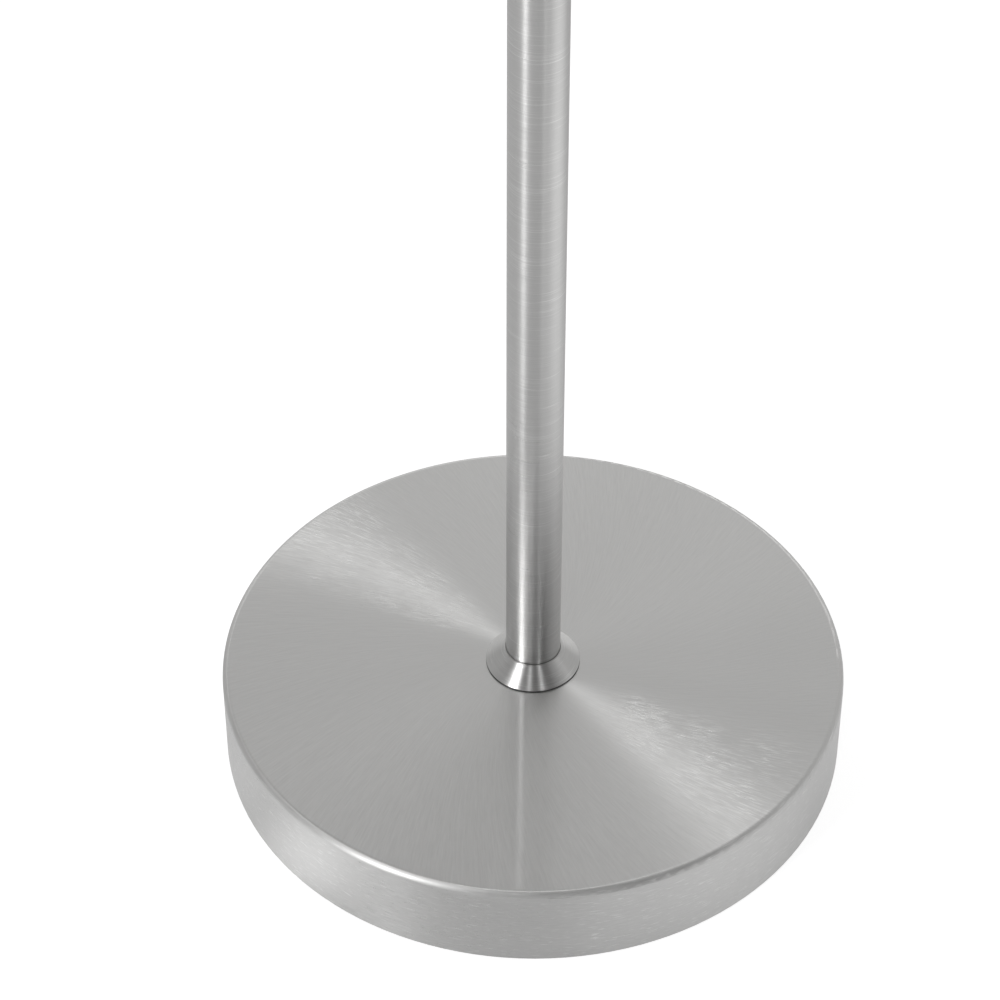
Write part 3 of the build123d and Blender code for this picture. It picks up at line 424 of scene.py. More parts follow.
fluff = Jig("felt_fluff", ("Radius", "Bottom", "Top", "Hair Length", "Hair Thickness"), ("Hairs",))
rim = fluff.add("GeometryNodeMeshCircle", {}, {
    "Vertices": fluff.size("Hairs"), "Radius": fluff.size("Radius"),
})
hair_level = fluff.add(
    "FunctionNodeRandomValue", {"data_type": "FLOAT"},
    {2: fluff.size("Bottom"), 3: fluff.size("Top"), "Seed": 3}, output=1,
)
rim = fluff.add("GeometryNodeSetPosition", {}, {
    "Geometry": rim, "Offset": fluff.add("ShaderNodeCombineXYZ", {}, {"Z": hair_level}),
})
hair = fluff.add("GeometryNodeMeshCone", {}, {
    "Vertices": 3, "Radius Top": fluff.size("Hair Thickness") * 0.2,
    "Radius Bottom": fluff.size("Hair Thickness"), "Depth": fluff.size("Hair Length"),
})
hair_lean = fluff.add(
    "FunctionNodeRandomValue", {"data_type": "FLOAT_VECTOR"},
    {0: (-0.9, -0.9, -0.5), 1: (0.9, 0.9, 0.5), "Seed": 4},
)
outward = fluff.add(
    "ShaderNodeVectorMath", {"operation": "NORMALIZE"}, {0: fluff.add("GeometryNodeInputPosition")}
)
hair_way = fluff.add("ShaderNodeVectorMath", {"operation": "ADD"}, {0: outward, 1: hair_lean})
hair_turn = fluff.add("FunctionNodeAlignRotationToVector", {"axis": "Z"}, {"Vector": hair_way})
hair_scale = fluff.add(
    "FunctionNodeRandomValue", {"data_type": "FLOAT"}, {2: 0.4, 3: 1.0, "Seed": 5}, output=1,
)
fluff.close(fluff.add("GeometryNodeInstanceOnPoints", {}, {
    "Points": rim, "Instance": hair, "Rotation": hair_turn, "Scale": hair_scale,
}))
felt_fluff = fluff.make("felt_fluff", felt_finish, {
    "Radius": felt_radius, "Bottom": felt_low.z + FLUFF_LENGTH,
    "Top": felt_high.z - FLUFF_LENGTH / 2, "Hair Length": FLUFF_LENGTH,
    "Hair Thickness": FLUFF_THICKNESS, "Hairs": FLUFF_COUNT,
})
for piece in (felt_disc, felt_fluff):
    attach(piece, "lamp")
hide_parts("felt_pad")


# ---------------------------------------------------------------- iron weight
# A sand-cast iron plate with a hub and ribs. It is left as cast under a thin dip of black
# paint, with rust where the paint is thin.
iron = Finish("cast_iron_dip")
sand = iron.noise(iron.place, 700.0, 4.0, 0.7)
lumps = iron.noise(iron.place, 60.0, 3.0)
thin_paint = iron.between(iron.noise(iron.place, 28.0, 5.0, 0.65), 0.53, 0.70)
iron_dark = iron.blend(
    iron.between(sand, 0.35, 0.65), colour(0.022, 0.022, 0.024), colour(0.060, 0.058, 0.056)
)
paint(iron.done(iron.gloss({
    "Base Color": iron.blend(thin_paint * 0.7, iron_dark, colour(0.120, 0.052, 0.028)),
    "Metallic": 0.35 - thin_paint * 0.3,
    "Roughness": iron.between(lumps, 0.3, 0.7, 0.55, 0.85),
    "Normal": iron.bump(sand * 0.6 + lumps * 0.4, 0.0005, 0.9),
})), "base_weight")


# ---------------------------------------------------------------- lead and cord bush
# A round lead in black PVC from the bush up the whole pole, and a snap-in nylon bush with
# the fine matt texture of its mould.
black_pvc = Finish("black_pvc_jacket")
jacket = black_pvc.noise(
    black_pvc.vector(black_pvc.x * 500, black_pvc.y * 500, black_pvc.z * 90), 1.0, 2.0
)
scuffs = black_pvc.between(black_pvc.noise(black_pvc.place, 75.0, 4.0, 0.7), 0.52, 0.72)
black_pvc_finish = black_pvc.done(black_pvc.gloss({
    "Base Color": black_pvc.blend(
        scuffs * 0.6, colour(0.012, 0.012, 0.013), colour(0.045, 0.044, 0.043)
    ),
    "Roughness": jacket * 0.2 + scuffs * 0.15 + 0.32,
    "Normal": black_pvc.bump(jacket, 0.00005),
}))
paint(black_pvc_finish, "pole_lead")


def moulded(name, dark, light, rough, grain_depth=0.00003):
    """Moulded plastic with a spark-eroded texture and a faint cloudiness."""
    plastic = Finish(name)
    grain = plastic.noise(plastic.place, 2600.0, 2.0, 0.6)
    cloud = plastic.between(plastic.noise(plastic.place, 45.0, 3.0), 0.35, 0.68)
    rub = plastic.between(plastic.noise(plastic.place, 130.0, 4.0, 0.7), 0.56, 0.74)
    return plastic.done(plastic.gloss({
        "Base Color": plastic.blend(cloud, dark, light),
        "Roughness": grain * 0.14 + rough - rub * 0.10,
        "Normal": plastic.bump(grain, grain_depth, 0.6),
    }))


black_nylon = moulded("black_nylon", colour(0.010, 0.010, 0.011), colour(0.028, 0.028, 0.029), 0.42)
paint(black_nylon, "cord_bush")


# ---------------------------------------------------------------- base cover
# A pressed steel shell over the iron weight. Its top is brushed in strokes that lean a little
# from straight outwards and is lacquered, with two sprays of deeper cuts painted lighter where the
# high lamp's highlight fans fall, painted glints. Its side wall is brushed round, and its rounded
# edge is only rubbed smooth.
STEEL_DARK = colour(0.562, 0.560, 0.556)
STEEL_LIGHT = colour(0.628, 0.626, 0.621)
# The lighter colour of the cuts: a painted glint.
STEEL_PAINTED_GLINT = colour(0.78, 0.78, 0.775)
STROKES_ROUND = 0.25        # turns the stretched highlight up and down the piece
STROKES_LEAN = math.radians(15)


def spokes(steel, around, along):
    """Coordinates that change fast across the leaning strokes and slowly along them."""
    reach = (steel.x * steel.x + steel.y * steel.y) ** 0.5 + 0.0001
    lean = steel.sum("LOGARITHM", reach, math.e) * math.tan(STROKES_LEAN)
    cosine, sine = steel.sum("COSINE", lean), steel.sum("SINE", lean)
    return steel.vector(
        (steel.x * cosine + steel.y * sine) / reach * around,
        (steel.y * cosine - steel.x * sine) / reach * around, reach * along,
    )


def hoops(steel, around, along):
    """Coordinates that change fast up the piece and slowly round it."""
    return steel.vector(steel.x * around, steel.y * around, steel.z * along)


def brushed(steel, strokes, fine, spread, turn, rough, depth, lacquer=0.0, glints=None):
    """Brushed steel: strokes give its lines, fine its smallest scratches, and glints are deeper
    cuts that flash where a lamp is mirrored, with their colour painted lighter as well, a painted
    glint.
    spread and turn stretch its highlights, and lacquer is the share of a clear coat on it."""
    glints = glints or steel.between(steel.noise(fine, 0.6, 1.0), 0.62, 0.72)
    grain = steel.noise(strokes, 1.0, 3.0, 0.62) * 0.6 + steel.noise(fine, 1.0, 1.0) * 0.4
    tone = steel.between(grain, 0.34, 0.66)
    wear = steel.between(steel.noise(steel.place, 9.0, 2.0), 0.35, 0.7)
    return steel.gloss({
        "Base Color": steel.blend(
            glints * 0.6, steel.blend(tone, STEEL_DARK, STEEL_LIGHT), STEEL_PAINTED_GLINT
        ),
        "Metallic": 1.0,
        "Roughness": tone * 0.10 + wear * 0.03 + rough - glints * 0.03,
        "Anisotropic": spread,
        "Anisotropic Rotation": turn,
        "Coat Weight": (1 - wear * 0.13) * lacquer,
        "Coat Roughness": 0.07,
        "Coat IOR": 1.75,
        "Normal": steel.bump(grain + glints, depth, 0.5),
    })


COVER_EDGE = 0.0025
COVER_EDGE_TOP = 0.0002     # the rounded edge ends this far below the flat top
COVER_LACQUER = 0.75
# The sprays run along the fans of the high lamp's highlight. Their cuts are deeper and painted
# lighter there, as painted glints; SPRAY_DEPTH also sets how strongly they are painted lighter.
SPRAY_WAY = math.radians(-40)       # the way that the two sprays of deeper cuts run
SPRAY_NARROW, SPRAY_WIDE = 0.10, 0.36       # how fast a spray widens, full and at its fringe
SPRAY_START, SPRAY_FULL = 0.020, 0.045      # how far out it starts and is at its full
SPRAY_DEPTH = 2.2           # how much deeper than the strokes its cuts are

cover_steel = Finish("cover_steel")
cover_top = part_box("base_cover")[1].z
cuts = cover_steel.noise(spokes(cover_steel, 380, 160), 1.0, 1.0)
spray_x, spray_y = math.cos(SPRAY_WAY), math.sin(SPRAY_WAY)
spray_along = cover_steel.sum("ABSOLUTE", cover_steel.x * spray_x + cover_steel.y * spray_y)
spray_across = cover_steel.sum("ABSOLUTE", cover_steel.y * spray_x - cover_steel.x * spray_y)
spray_cuts_and_glints = (
    cover_steel.between(
        spray_across / (spray_along + 0.001), SPRAY_NARROW, SPRAY_WIDE, 1.0, 0.0, "SMOOTHSTEP"
    )
    * cover_steel.between(spray_along, SPRAY_START, SPRAY_FULL)
    * cover_steel.between(cover_steel.noise(cover_steel.place, 40.0, 2.0), 0.38, 0.56, 0.3, 1.0)
)
top_brushing = brushed(
    cover_steel, spokes(cover_steel, 130, 75), spokes(cover_steel, 330, 190), 0.9,
    STROKES_LEAN / (2 * math.pi), 0.275, 0.000018, COVER_LACQUER,
    cover_steel.between(cuts, 0.56, 0.64, 0.0, SPRAY_DEPTH) * spray_cuts_and_glints,
)
side_brushing = brushed(
    cover_steel, hoops(cover_steel, 170, 1700), hoops(cover_steel, 330, 3600), 0.82,
    STROKES_ROUND, 0.26, 0.00002,
)
edge_rubbing = brushed(
    cover_steel, hoops(cover_steel, 60, 1500), hoops(cover_steel, 160, 4200), 0.45,
    STROKES_ROUND, 0.44, 0.0,
)
below_top = cover_top - cover_steel.z
on_edge = cover_steel.between(below_top, 0.8 * COVER_EDGE, 1.6 * COVER_EDGE, 1.0, 0.0)
past_edge = cover_steel.between(below_top, 0.4 * COVER_EDGE_TOP, COVER_EDGE_TOP, 1.0, 0.0)
cover_side = cover_steel.layers(on_edge, side_brushing, edge_rubbing)
paint(cover_steel.done(cover_steel.layers(past_edge, cover_side, top_brushing)), "base_cover")


# ---------------------------------------------------------------- rod, nut and washers in the foot
# A hollow threaded rod pulls the pole, collar, cover and weight together. All of it is
# zinc-plated steel, a little blue, with the dull mottling of barrel plating.
zinc = Finish("zinc_plating")
crystals = zinc.cells(900.0, "Color")
spangle = zinc.add("ShaderNodeSeparateColor", {}, {0: crystals}, output=0)
tarnish = zinc.between(zinc.noise(zinc.place, 120.0, 4.0, 0.65), 0.50, 0.72)
zinc_scratch = zinc.noise(zinc.vector(zinc.x * 300, zinc.y * 300, zinc.z * 2400), 1.0, 2.0)
zinc_colour = zinc.blend(spangle, colour(0.52, 0.545, 0.570), colour(0.66, 0.675, 0.690))
zinc_finish = zinc.done(zinc.gloss({
    "Base Color": zinc.blend(tarnish * 0.4, zinc_colour, colour(0.50, 0.46, 0.36)),
    "Metallic": 1.0,
    "Roughness": spangle * 0.08 + tarnish * 0.15 + 0.26,
    "Normal": zinc.bump(zinc_scratch, 0.00002),
}))
paint(zinc_finish, "foot_nut", "foot_lock_washer", "foot_washer")

# The thread jig turns a wall whose rows of points climb along the thread, so that every
# crest is one clean line. The outside and inside walls each have their own depth.
thread = Jig(
    "screw_thread",
    (
        "Bottom", "Top", "Pitch", "Run-out", "Skirt", "Roundness", "Outer Radius", "Outer Depth",
        "Outer Bottom Radius", "Outer Top Radius", "Inner Radius", "Inner Depth", "Lip Radius",
        "Lip Thickness",
    ),
    ("Around", "Outer Steps", "Inner Steps"),
)


def thread_sheet(rows):
    """A sheet of points, one column more than Around and rows of them, with how far each
    point is round and how far along the sheet."""
    sheet = thread.add("GeometryNodeMeshGrid", {}, {
        "Size X": 1.0, "Size Y": 1.0, "Vertices X": thread.size("Around") + 1, "Vertices Y": rows,
    })
    x, y, _ = thread.split(thread.add("GeometryNodeInputPosition"))
    return sheet, x + 0.5, y + 0.5


def wrapped(sheet, turn, radius, height):
    """The sheet wrapped round the axis."""
    angle = turn * (2 * math.pi)
    place = thread.add("ShaderNodeCombineXYZ", {}, {
        "X": radius * thread.sum("COSINE", angle), "Y": radius * thread.sum("SINE", angle),
        "Z": height,
    })
    return thread.add("GeometryNodeSetPosition", {}, {"Geometry": sheet, "Position": place})


def thread_wall(bottom, radius, depth, low_radius, high_radius, steps):
    """A wall with the thread cut depth deep into radius, plain at both ends."""
    top, pitch = thread.size("Top"), thread.size("Pitch")
    first, last = thread.sum("FLOOR", bottom / pitch) - 1, thread.sum("CEIL", top / pitch)
    count = (last - first) * steps
    sheet, turn, along = thread_sheet(count + 1)
    advance = first + along * count / steps
    height = thread.sum("MINIMUM", thread.sum("MAXIMUM", (advance + turn) * pitch, bottom), top)
    share = thread.sum("FRACT", advance + 0.0001)
    ridge = 1 - thread.sum("ABSOLUTE", share * 2 - 1)
    swell = 0.5 - thread.sum("COSINE", share * (2 * math.pi)) * 0.5
    roundness = thread.size("Roundness")
    crest = ridge * (1 - roundness) + swell * roundness
    cut_top = top - thread.size("Skirt")
    runout = thread.size("Run-out")
    fade = (
        thread.between(height, bottom, bottom + runout, way="SMOOTHSTEP")
        * thread.between(height, cut_top - runout, cut_top, 1.0, 0.0, "SMOOTHSTEP")
    )
    middle = (bottom + top) / 2
    plain = thread.between(height, middle, middle + 0.0001, low_radius, high_radius)
    return wrapped(sheet, turn, plain * (1 - fade) + (radius - depth * (1 - crest)) * fade, height)


def thread_ring(first_radius, first_level, second_radius, second_level):
    """A flat ring or a plain wall that closes the thread's walls."""
    sheet, turn, along = thread_sheet(2)
    return wrapped(
        sheet, turn, first_radius + (second_radius - first_radius) * along,
        first_level + (second_level - first_level) * along,
    )


thread_bottom, thread_top = thread.size("Bottom"), thread.size("Top")
lip_radius, lip_top = thread.size("Lip Radius"), thread_bottom + thread.size("Lip Thickness")
inner_radius = thread.size("Inner Radius")
low_radius, high_radius = thread.size("Outer Bottom Radius"), thread.size("Outer Top Radius")
thread_pieces = [
    thread_wall(
        thread_bottom, thread.size("Outer Radius"), thread.size("Outer Depth"), low_radius,
        high_radius, thread.size("Outer Steps"),
    ),
    thread_wall(
        lip_top, inner_radius, thread.size("Inner Depth"), inner_radius, inner_radius,
        thread.size("Inner Steps"),
    ),
    thread_ring(lip_radius, thread_bottom, low_radius, thread_bottom),
    thread_ring(lip_radius, thread_bottom, lip_radius, lip_top),
    thread_ring(lip_radius, lip_top, inner_radius, lip_top),
    thread_ring(inner_radius, thread_top, high_radius, thread_top),
]
thread_join = thread.tree.nodes.new("GeometryNodeJoinGeometry")
for piece in thread_pieces:
    thread.tree.links.new(piece.socket, thread_join.inputs[0])
thread.close(Amount(thread, thread_join.outputs[0]))

ROD_PITCH = 0.001
ROD_THREAD_DEPTH = 0.00055
ROD_BORE = 0.0035


def metric(bottom, top, radius, bore, pitch, depth):
    """Sizes of a hollow rod with a sharp metric thread from end to end."""
    return {
        "Bottom": bottom, "Top": top, "Pitch": pitch, "Run-out": pitch / 2, "Skirt": 0.0,
        "Roundness": 0.2, "Outer Radius": radius, "Outer Depth": depth,
        "Outer Bottom Radius": radius - depth, "Outer Top Radius": radius - depth,
        "Inner Radius": bore, "Inner Depth": 0.0, "Lip Radius": bore, "Lip Thickness": pitch,
        "Around": 40, "Outer Steps": 6, "Inner Steps": 1,
    }


def threaded_rod(name, node):
    """A hollow M10 rod in place of a CAD one."""
    low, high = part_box(node)
    piece = thread.make(
        name, zinc_finish, metric(low.z, high.z, high.x, ROD_BORE, ROD_PITCH, ROD_THREAD_DEPTH)
    )
    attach(piece, "lamp")
    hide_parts(node)


threaded_rod("foot_rod", "base_nipple")


# ---------------------------------------------------------------- pole and collars
# Three lengths of drawn tube screwed end to end, and a turned cone at each end. All are
# polished on a lathe, so every stroke runs round. The joints inside are zinc-plated.
round_steel = Finish("round_steel")
round_finish = round_steel.done(brushed(
    round_steel, hoops(round_steel, 25, 2200), hoops(round_steel, 80, 6000), 0.85,
    STROKES_ROUND, 0.27, 0.000005,
))
paint(round_finish, "lower_tube", "middle_tube", "upper_tube")


COLLAR_SHADOW_BAND = 0.0005


def collar_finish(name, foot, way):
    """Turned steel with a dark band of painted shadow at its wide end, for the shade of the gap
    there.
    foot is the level of that end and way is 1 where the cone stands up from it, or -1 where it
    hangs."""
    steel = Finish(name)
    lift = (steel.z - foot) * way
    edge = steel.between(lift, COLLAR_SHADOW_BAND, 1.4 * COLLAR_SHADOW_BAND, 1.0, 0.0)
    turned_face = brushed(
        steel, hoops(steel, 60, 2600), hoops(steel, 160, 6500), 0.85, STROKES_ROUND, 0.30, 0.000005
    )
    # Painted shadow: a dark, dull band at the wide end stands in for the shade of the gap where the
    # collar meets the next part.
    painted_shadow_band = steel.gloss({
        "Base Color": steel.blend(
            steel.noise(steel.place, 800.0), colour(0.05, 0.05, 0.05), colour(0.12, 0.12, 0.12)
        ),
        "Metallic": 0.8,
        "Roughness": steel.noise(steel.place, 500.0) * 0.2 + 0.5,
    })
    return steel.done(steel.layers(edge, turned_face, painted_shadow_band))


paint(collar_finish("foot_collar_steel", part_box("foot_collar")[0].z, 1), "foot_collar")
paint(collar_finish("neck_collar_steel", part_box("neck_collar")[1].z, -1), "neck_collar")
paint(
    zinc_finish, "foot_bush", "lower_joint_socket", "middle_joint_stud", "middle_joint_socket",
    "upper_joint_stud", "head_bush",
)


# ---------------------------------------------------------------- head cup and bracket
# A spun cup on the end of the pole hides a bent strap, which stands on the threaded rod and
# carries the lampholder on two screws.
paint(round_finish, "head_cup")
threaded_rod("head_rod", "head_nipple")
paint(zinc_finish, "socket_bracket", "head_lock_washer", "head_nut", "bracket_screws")


# ---------------------------------------------------------------- dimmer
# A rotary dimmer in the cup's front: a nylon can, a brass bushing held by a nut, and a
# turned bezel and fluted knob whose faces show fine turning rings.
paint(black_nylon, "dimmer_can")

brass = Finish("brass")
brass_grain = brass.noise(brass.vector(brass.x * 300, brass.y * 2400, brass.z * 300), 1.0, 3.0)
brass_stain = brass.between(brass.noise(brass.place, 210.0, 4.0, 0.65), 0.45, 0.72)
brass_finish = brass.done(brass.gloss({
    "Base Color": brass.blend(
        brass_stain * 0.6, colour(0.780, 0.565, 0.260), colour(0.430, 0.270, 0.120)
    ),
    "Metallic": 1.0,
    "Roughness": brass_grain * 0.12 + brass_stain * 0.22 + 0.20,
    "Normal": brass.bump(brass_grain, 0.00002),
}))
BUSHING_PITCH = 0.00075
BUSHING_DEPTH = 0.0004
BUSHING_BORE = 0.00306
bushing_low, bushing_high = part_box("dimmer_bushing")
bushing_axis = (bushing_low + bushing_high) / 2
bushing_radius = (bushing_high.x - bushing_low.x) / 2
dimmer_thread = thread.make(
    "dimmer_thread", brass_finish,
    metric(
        -bushing_high.y, -bushing_low.y, bushing_radius, BUSHING_BORE, BUSHING_PITCH, BUSHING_DEPTH
    ),
    Matrix.Translation((0, 0, bushing_axis.z)) @ Matrix.Rotation(math.radians(90), 4, "X"),
)
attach(dimmer_thread, "lamp")
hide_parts("dimmer_bushing")

paint(zinc_finish, "dimmer_nut", "dimmer_shaft", "knob_set_screw")

POINTER_HALF = 0.0006
POINTER_START = 0.002       # how far from the knob's middle the pointer starts
KNOB_FACE_DEPTH = 0.0004    # the pointer's floor lies this far behind the knob's face
knob_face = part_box("dimmer_knob")[0].y
knob_steel = Finish("turned_knob_steel")
knob_lift = knob_steel.z - bushing_axis.z
knob_reach = (knob_steel.x * knob_steel.x + knob_lift * knob_lift) ** 0.5
knob_rings = knob_steel.noise(
    knob_steel.vector(knob_reach * 3800, knob_steel.y * 3800, 0.0), 1.0, 3.0, 0.6
)
knob_tone = knob_steel.between(knob_rings, 0.34, 0.66)
knob_polish = knob_steel.between(knob_steel.noise(knob_steel.place, 160.0, 3.0), 0.4, 0.7)
behind_face = knob_steel.y - knob_face
off_middle = knob_steel.sum("ABSOLUTE", knob_steel.x)
in_pointer = (
    knob_steel.between(off_middle, POINTER_HALF, 1.06 * POINTER_HALF, 1.0, 0.0)
    * knob_steel.between(behind_face, 0.5 * KNOB_FACE_DEPTH, KNOB_FACE_DEPTH)
    * knob_steel.between(behind_face, 2.5 * KNOB_FACE_DEPTH, 3.0 * KNOB_FACE_DEPTH, 1.0, 0.0)
    * knob_steel.between(knob_lift, POINTER_START, 1.25 * POINTER_START)
)
knob_colour = knob_steel.blend(knob_tone, STEEL_DARK, STEEL_LIGHT)
paint(knob_steel.done(knob_steel.gloss({
    "Base Color": knob_steel.blend(in_pointer, knob_colour, colour(0.012, 0.012, 0.012)),
    "Metallic": 1.0 - in_pointer,
    "Roughness": knob_tone * 0.12 + 0.30 - knob_polish * 0.05,
    "Normal": knob_steel.bump(knob_rings, 0.00001),
})), "dimmer_bezel", "dimmer_knob")


# ---------------------------------------------------------------- lampholder and its wires
# A glazed porcelain body with an aluminium screw shell, a riveted brass tongue, and three
# single wires: two black cores through the dimmer and a white one to the shell.
porcelain = Finish("glazed_porcelain")
glaze_pool = porcelain.between(porcelain.noise(porcelain.place, 90.0, 3.0), 0.36, 0.66)
glaze_specks = porcelain.between(porcelain.cells(420.0), 0.05, 0.11, 1.0, 0.0)
glaze_wave = porcelain.noise(porcelain.place, 260.0, 2.0)
porcelain_white = porcelain.blend(glaze_pool, colour(0.80, 0.79, 0.75), colour(0.88, 0.875, 0.85))
paint(porcelain.done(porcelain.gloss({
    "Base Color": porcelain.blend(glaze_specks * 0.45, porcelain_white, colour(0.35, 0.28, 0.20)),
    "Roughness": glaze_pool * 0.10 + 0.22,
    "Coat Weight": glaze_pool * 0.4 + 0.5,
    "Coat Roughness": 0.05,
    "Normal": porcelain.bump(glaze_wave, 0.00012),
})), "lampholder")


def stained_metal(name, dark, light, stain, rough):
    """Metal that shows fine lines round it, with faint stains."""
    metal = Finish(name)
    lines = metal.noise(metal.vector(metal.x * 160, metal.y * 160, metal.z * 3000), 1.0, 3.0)
    spots = metal.between(metal.noise(metal.place, 190.0, 4.0, 0.65), 0.48, 0.72)
    clean = metal.blend(metal.between(lines, 0.3, 0.7), dark, light)
    return metal.done(metal.gloss({
        "Base Color": metal.blend(spots * 0.5, clean, stain),
        "Metallic": 1.0,
        "Roughness": lines * 0.14 + spots * 0.16 + rough,
        "Normal": metal.bump(lines, 0.00001),
    }))


aluminium_finish = stained_metal(
    "rolled_aluminium", colour(0.70, 0.705, 0.71), colour(0.82, 0.825, 0.83),
    colour(0.50, 0.49, 0.46), 0.24,
)

BULB_PITCH = 0.0254 / 7     # seven threads to the inch
SHELL_WALL = 0.0006
SHELL_THREAD_DEPTH = 0.0004
SHELL_LIP = 0.0115
shell_low, shell_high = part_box("screw_shell")
shell_bore = shell_high.x - SHELL_WALL
socket_thread = thread.make("socket_thread", aluminium_finish, {
    "Bottom": shell_low.z, "Top": shell_high.z, "Pitch": BULB_PITCH, "Run-out": BULB_PITCH / 3,
    "Skirt": BULB_PITCH / 4, "Roundness": 1.0, "Outer Radius": shell_high.x,
    "Outer Depth": SHELL_THREAD_DEPTH, "Outer Bottom Radius": shell_high.x,
    "Outer Top Radius": shell_high.x, "Inner Radius": shell_bore, "Inner Depth": SHELL_THREAD_DEPTH,
    "Lip Radius": SHELL_LIP, "Lip Thickness": SHELL_WALL, "Around": 72, "Outer Steps": 10,
    "Inner Steps": 10,
})
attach(socket_thread, "lamp")
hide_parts("screw_shell")

paint(brass_finish, "contact_tongue", "contact_rivet")
paint(black_pvc_finish, "live_wire", "switch_wire")
white_pvc = Finish("white_pvc_core")
core_lines = white_pvc.noise(
    white_pvc.vector(white_pvc.x * 700, white_pvc.y * 700, white_pvc.z * 120), 1.0, 2.0
)
core_grime = white_pvc.between(white_pvc.noise(white_pvc.place, 140.0, 4.0, 0.7), 0.50, 0.75)
paint(white_pvc.done(white_pvc.gloss({
    "Base Color": white_pvc.blend(
        core_grime * 0.5, colour(0.78, 0.78, 0.76), colour(0.52, 0.50, 0.45)
    ),
    "Roughness": core_lines * 0.18 + core_grime * 0.12 + 0.30,
    "Normal": white_pvc.bump(core_lines, 0.00004),
})), "neutral_wire")


# ---------------------------------------------------------------- tray and gaskets
# A spun steel saucer stands on the cup's rim and spreads the bowl's weight. A rubber ring
# lies on each side of the glass, dusted with the talc it was packed in.
paint(round_finish, "bowl_tray")
rubber = Finish("dusted_rubber")
rubber_skin = rubber.noise(rubber.place, 800.0, 3.0)
talc = rubber.between(rubber.noise(rubber.place, 70.0, 5.0, 0.7), 0.46, 0.72)
paint(rubber.done(rubber.gloss({
    "Base Color": rubber.blend(
        talc * 0.45, colour(0.022, 0.021, 0.021), colour(0.130, 0.128, 0.124)
    ),
    "Roughness": talc * 0.18 + 0.62,
    "Normal": rubber.bump(rubber_skin, 0.00008),
})), "lower_gasket", "upper_gasket")


# ---------------------------------------------------------------- glass bowl
# Opal glass, blown in a mould and etched to a satin face. It has the faint swirl and the
# slightly uneven milkiness of blown opal, and its rim is fire-polished.
SATIN = 0.30
RIM_POLISHED, RIM_FADE = 0.001, 0.003       # how far down the polish is full, and ends
bowl_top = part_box("glass_bowl")[1].z
opal = Finish("opal_glass_satin")
opal_drift = opal.noise(opal.place, 7.0, 3.0)
swirl = opal.noise(opal.vector(opal.x * 9, opal.y * 9, opal.z * 60 + opal_drift * 5), 1.0, 3.0)
milk = opal.between(swirl * 0.5 + opal_drift * 0.5, 0.38, 0.62)
etch = opal.noise(opal.place, 1900.0, 2.0, 0.6)
polished = opal.between(bowl_top - opal.z, RIM_POLISHED, RIM_FADE, 1.0, 0.0)
seeds = opal.between(opal.cells(130.0), 0.03, 0.06, 1.0, 0.0)
paint(opal.done(opal.gloss({
    "Base Color": opal.blend(milk, colour(0.845, 0.845, 0.835), colour(0.905, 0.905, 0.897)),
    "Roughness": etch * 0.12 + SATIN - polished * 0.20 - seeds * 0.06,
    "Coat Weight": polished * 0.6,
    "Coat Roughness": 0.08,
    "Subsurface Weight": 0.35,
    "Subsurface Radius": (0.010, 0.010, 0.009),
    "Subsurface Scale": 1.0,
    "Normal": opal.bump(etch * 0.3 + swirl * 0.7, 0.00010, 0.4),
})), "glass_bowl")


# ---------------------------------------------------------------- shade ring
# A threaded aluminium ring with finger grips, tumbled dull and a little stained. It is
# screwed down by hand on the lampholder's skirt and clamps the bowl between its gaskets.
paint(stained_metal(
    "tumbled_ring", colour(0.62, 0.625, 0.63), colour(0.78, 0.785, 0.79),
    colour(0.42, 0.41, 0.39), 0.34,
), "shade_ring")


# ---------------------------------------------------------------- bulb
# An LED bulb: a nickel-plated screw cap with a black glass cone and a solder tip, a white
# plastic body, a board with twelve chips, and an opal dome pushed into the body's rim.
solder = Finish("solder_and_brass")
solder_rough = solder.noise(solder.place, 900.0, 3.0)
solder_blob = solder.between(solder.noise(solder.place, 320.0, 2.0), 0.45, 0.56)
paint(solder.done(solder.gloss({
    "Base Color": solder.blend(solder_blob, colour(0.66, 0.47, 0.21), colour(0.60, 0.60, 0.59)),
    "Metallic": 1.0,
    "Roughness": solder_rough * 0.25 + 0.22,
    "Normal": solder.bump(solder_blob, 0.00010),
})), "bulb_tip")

cone_glass = Finish("black_cone_glass")
cone_flow = cone_glass.noise(cone_glass.place, 380.0, 3.0)
paint(cone_glass.done(cone_glass.gloss({
    "Base Color": cone_glass.blend(
        cone_flow, colour(0.006, 0.006, 0.008), colour(0.020, 0.018, 0.022)
    ),
    "Roughness": cone_flow * 0.15 + 0.06,
    "Normal": cone_glass.bump(cone_flow, 0.00010),
})), "bulb_insulator")

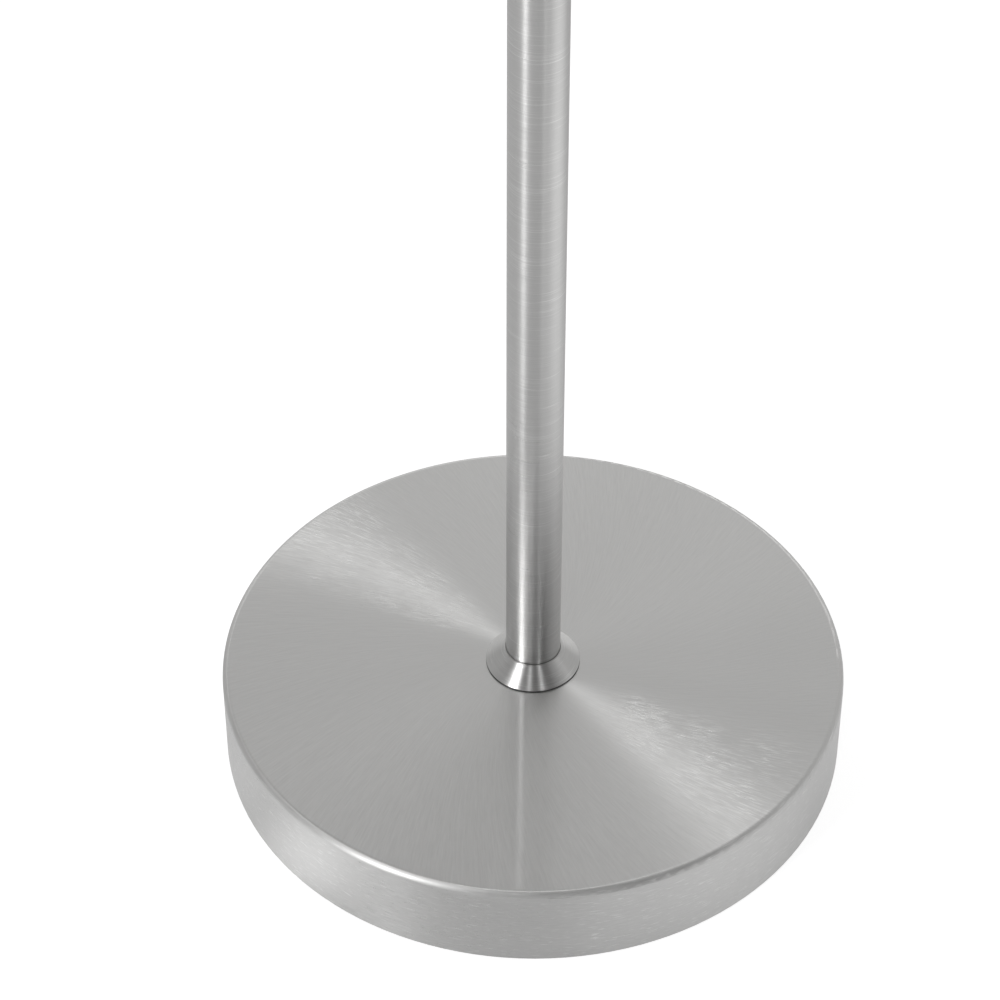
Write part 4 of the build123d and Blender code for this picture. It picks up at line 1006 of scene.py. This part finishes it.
nickel_finish = stained_metal(
    "nickel_cap", colour(0.60, 0.585, 0.555), colour(0.74, 0.725, 0.695),
    colour(0.44, 0.40, 0.33), 0.20,
)
CAP_THREAD_DEPTH = 0.00042
CAP_WALL = 0.0005
CAP_EDGE = 0.0008
CAP_SKIRT = 0.0045          # the plain band above the thread, where the cap is pinched on
cap_low, cap_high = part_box("bulb_cap")
cap_thread = thread.make("cap_thread", nickel_finish, {
    "Bottom": cap_low.z, "Top": cap_high.z, "Pitch": BULB_PITCH, "Run-out": BULB_PITCH / 3,
    "Skirt": CAP_SKIRT, "Roundness": 1.0, "Outer Radius": cap_high.x,
    "Outer Depth": CAP_THREAD_DEPTH, "Outer Bottom Radius": cap_high.x - CAP_EDGE,
    "Outer Top Radius": cap_high.x, "Inner Radius": cap_high.x - CAP_WALL, "Inner Depth": 0.0,
    "Lip Radius": 0.0, "Lip Thickness": CAP_WALL, "Around": 72, "Outer Steps": 10,
    "Inner Steps": 1,
})
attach(cap_thread, "bulb")
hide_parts("bulb_cap")

paint(moulded(
    "white_housing", colour(0.76, 0.76, 0.745), colour(0.82, 0.82, 0.808), 0.34, 0.00002
), "bulb_body")

CHIP_RISE = 0.0008
chip_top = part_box("bulb_led_board")[1].z
board = Finish("led_board")
is_chip = board.between(chip_top - board.z, 0.6 * CHIP_RISE, 0.9 * CHIP_RISE, 1.0, 0.0)
mask_cloud = board.between(board.noise(board.place, 240.0, 3.0), 0.4, 0.65)
mask_white = board.blend(mask_cloud, colour(0.74, 0.75, 0.73), colour(0.82, 0.83, 0.81))
phosphor = board.blend(mask_cloud, colour(0.82, 0.62, 0.12), colour(0.88, 0.72, 0.24))
paint(board.done(board.gloss({
    "Base Color": board.blend(is_chip, mask_white, phosphor),
    "Roughness": mask_cloud * 0.12 + 0.30 + is_chip * 0.15,
    "Normal": board.bump(mask_cloud, 0.00003),
})), "bulb_led_board")

dome = Finish("opal_dome")
dome_cloud = dome.between(dome.noise(dome.place, 30.0, 3.0), 0.38, 0.64)
dome_frost = dome.noise(dome.place, 2400.0, 2.0)
paint(dome.done(dome.gloss({
    "Base Color": dome.blend(dome_cloud, colour(0.845, 0.845, 0.835), colour(0.890, 0.890, 0.880)),
    "Roughness": dome_frost * 0.10 + 0.30,
    "Subsurface Weight": 0.4,
    "Subsurface Radius": (0.006, 0.006, 0.0055),
    "Subsurface Scale": 1.0,
    "Normal": dome.bump(dome_frost, 0.00002),
})), "bulb_dome")
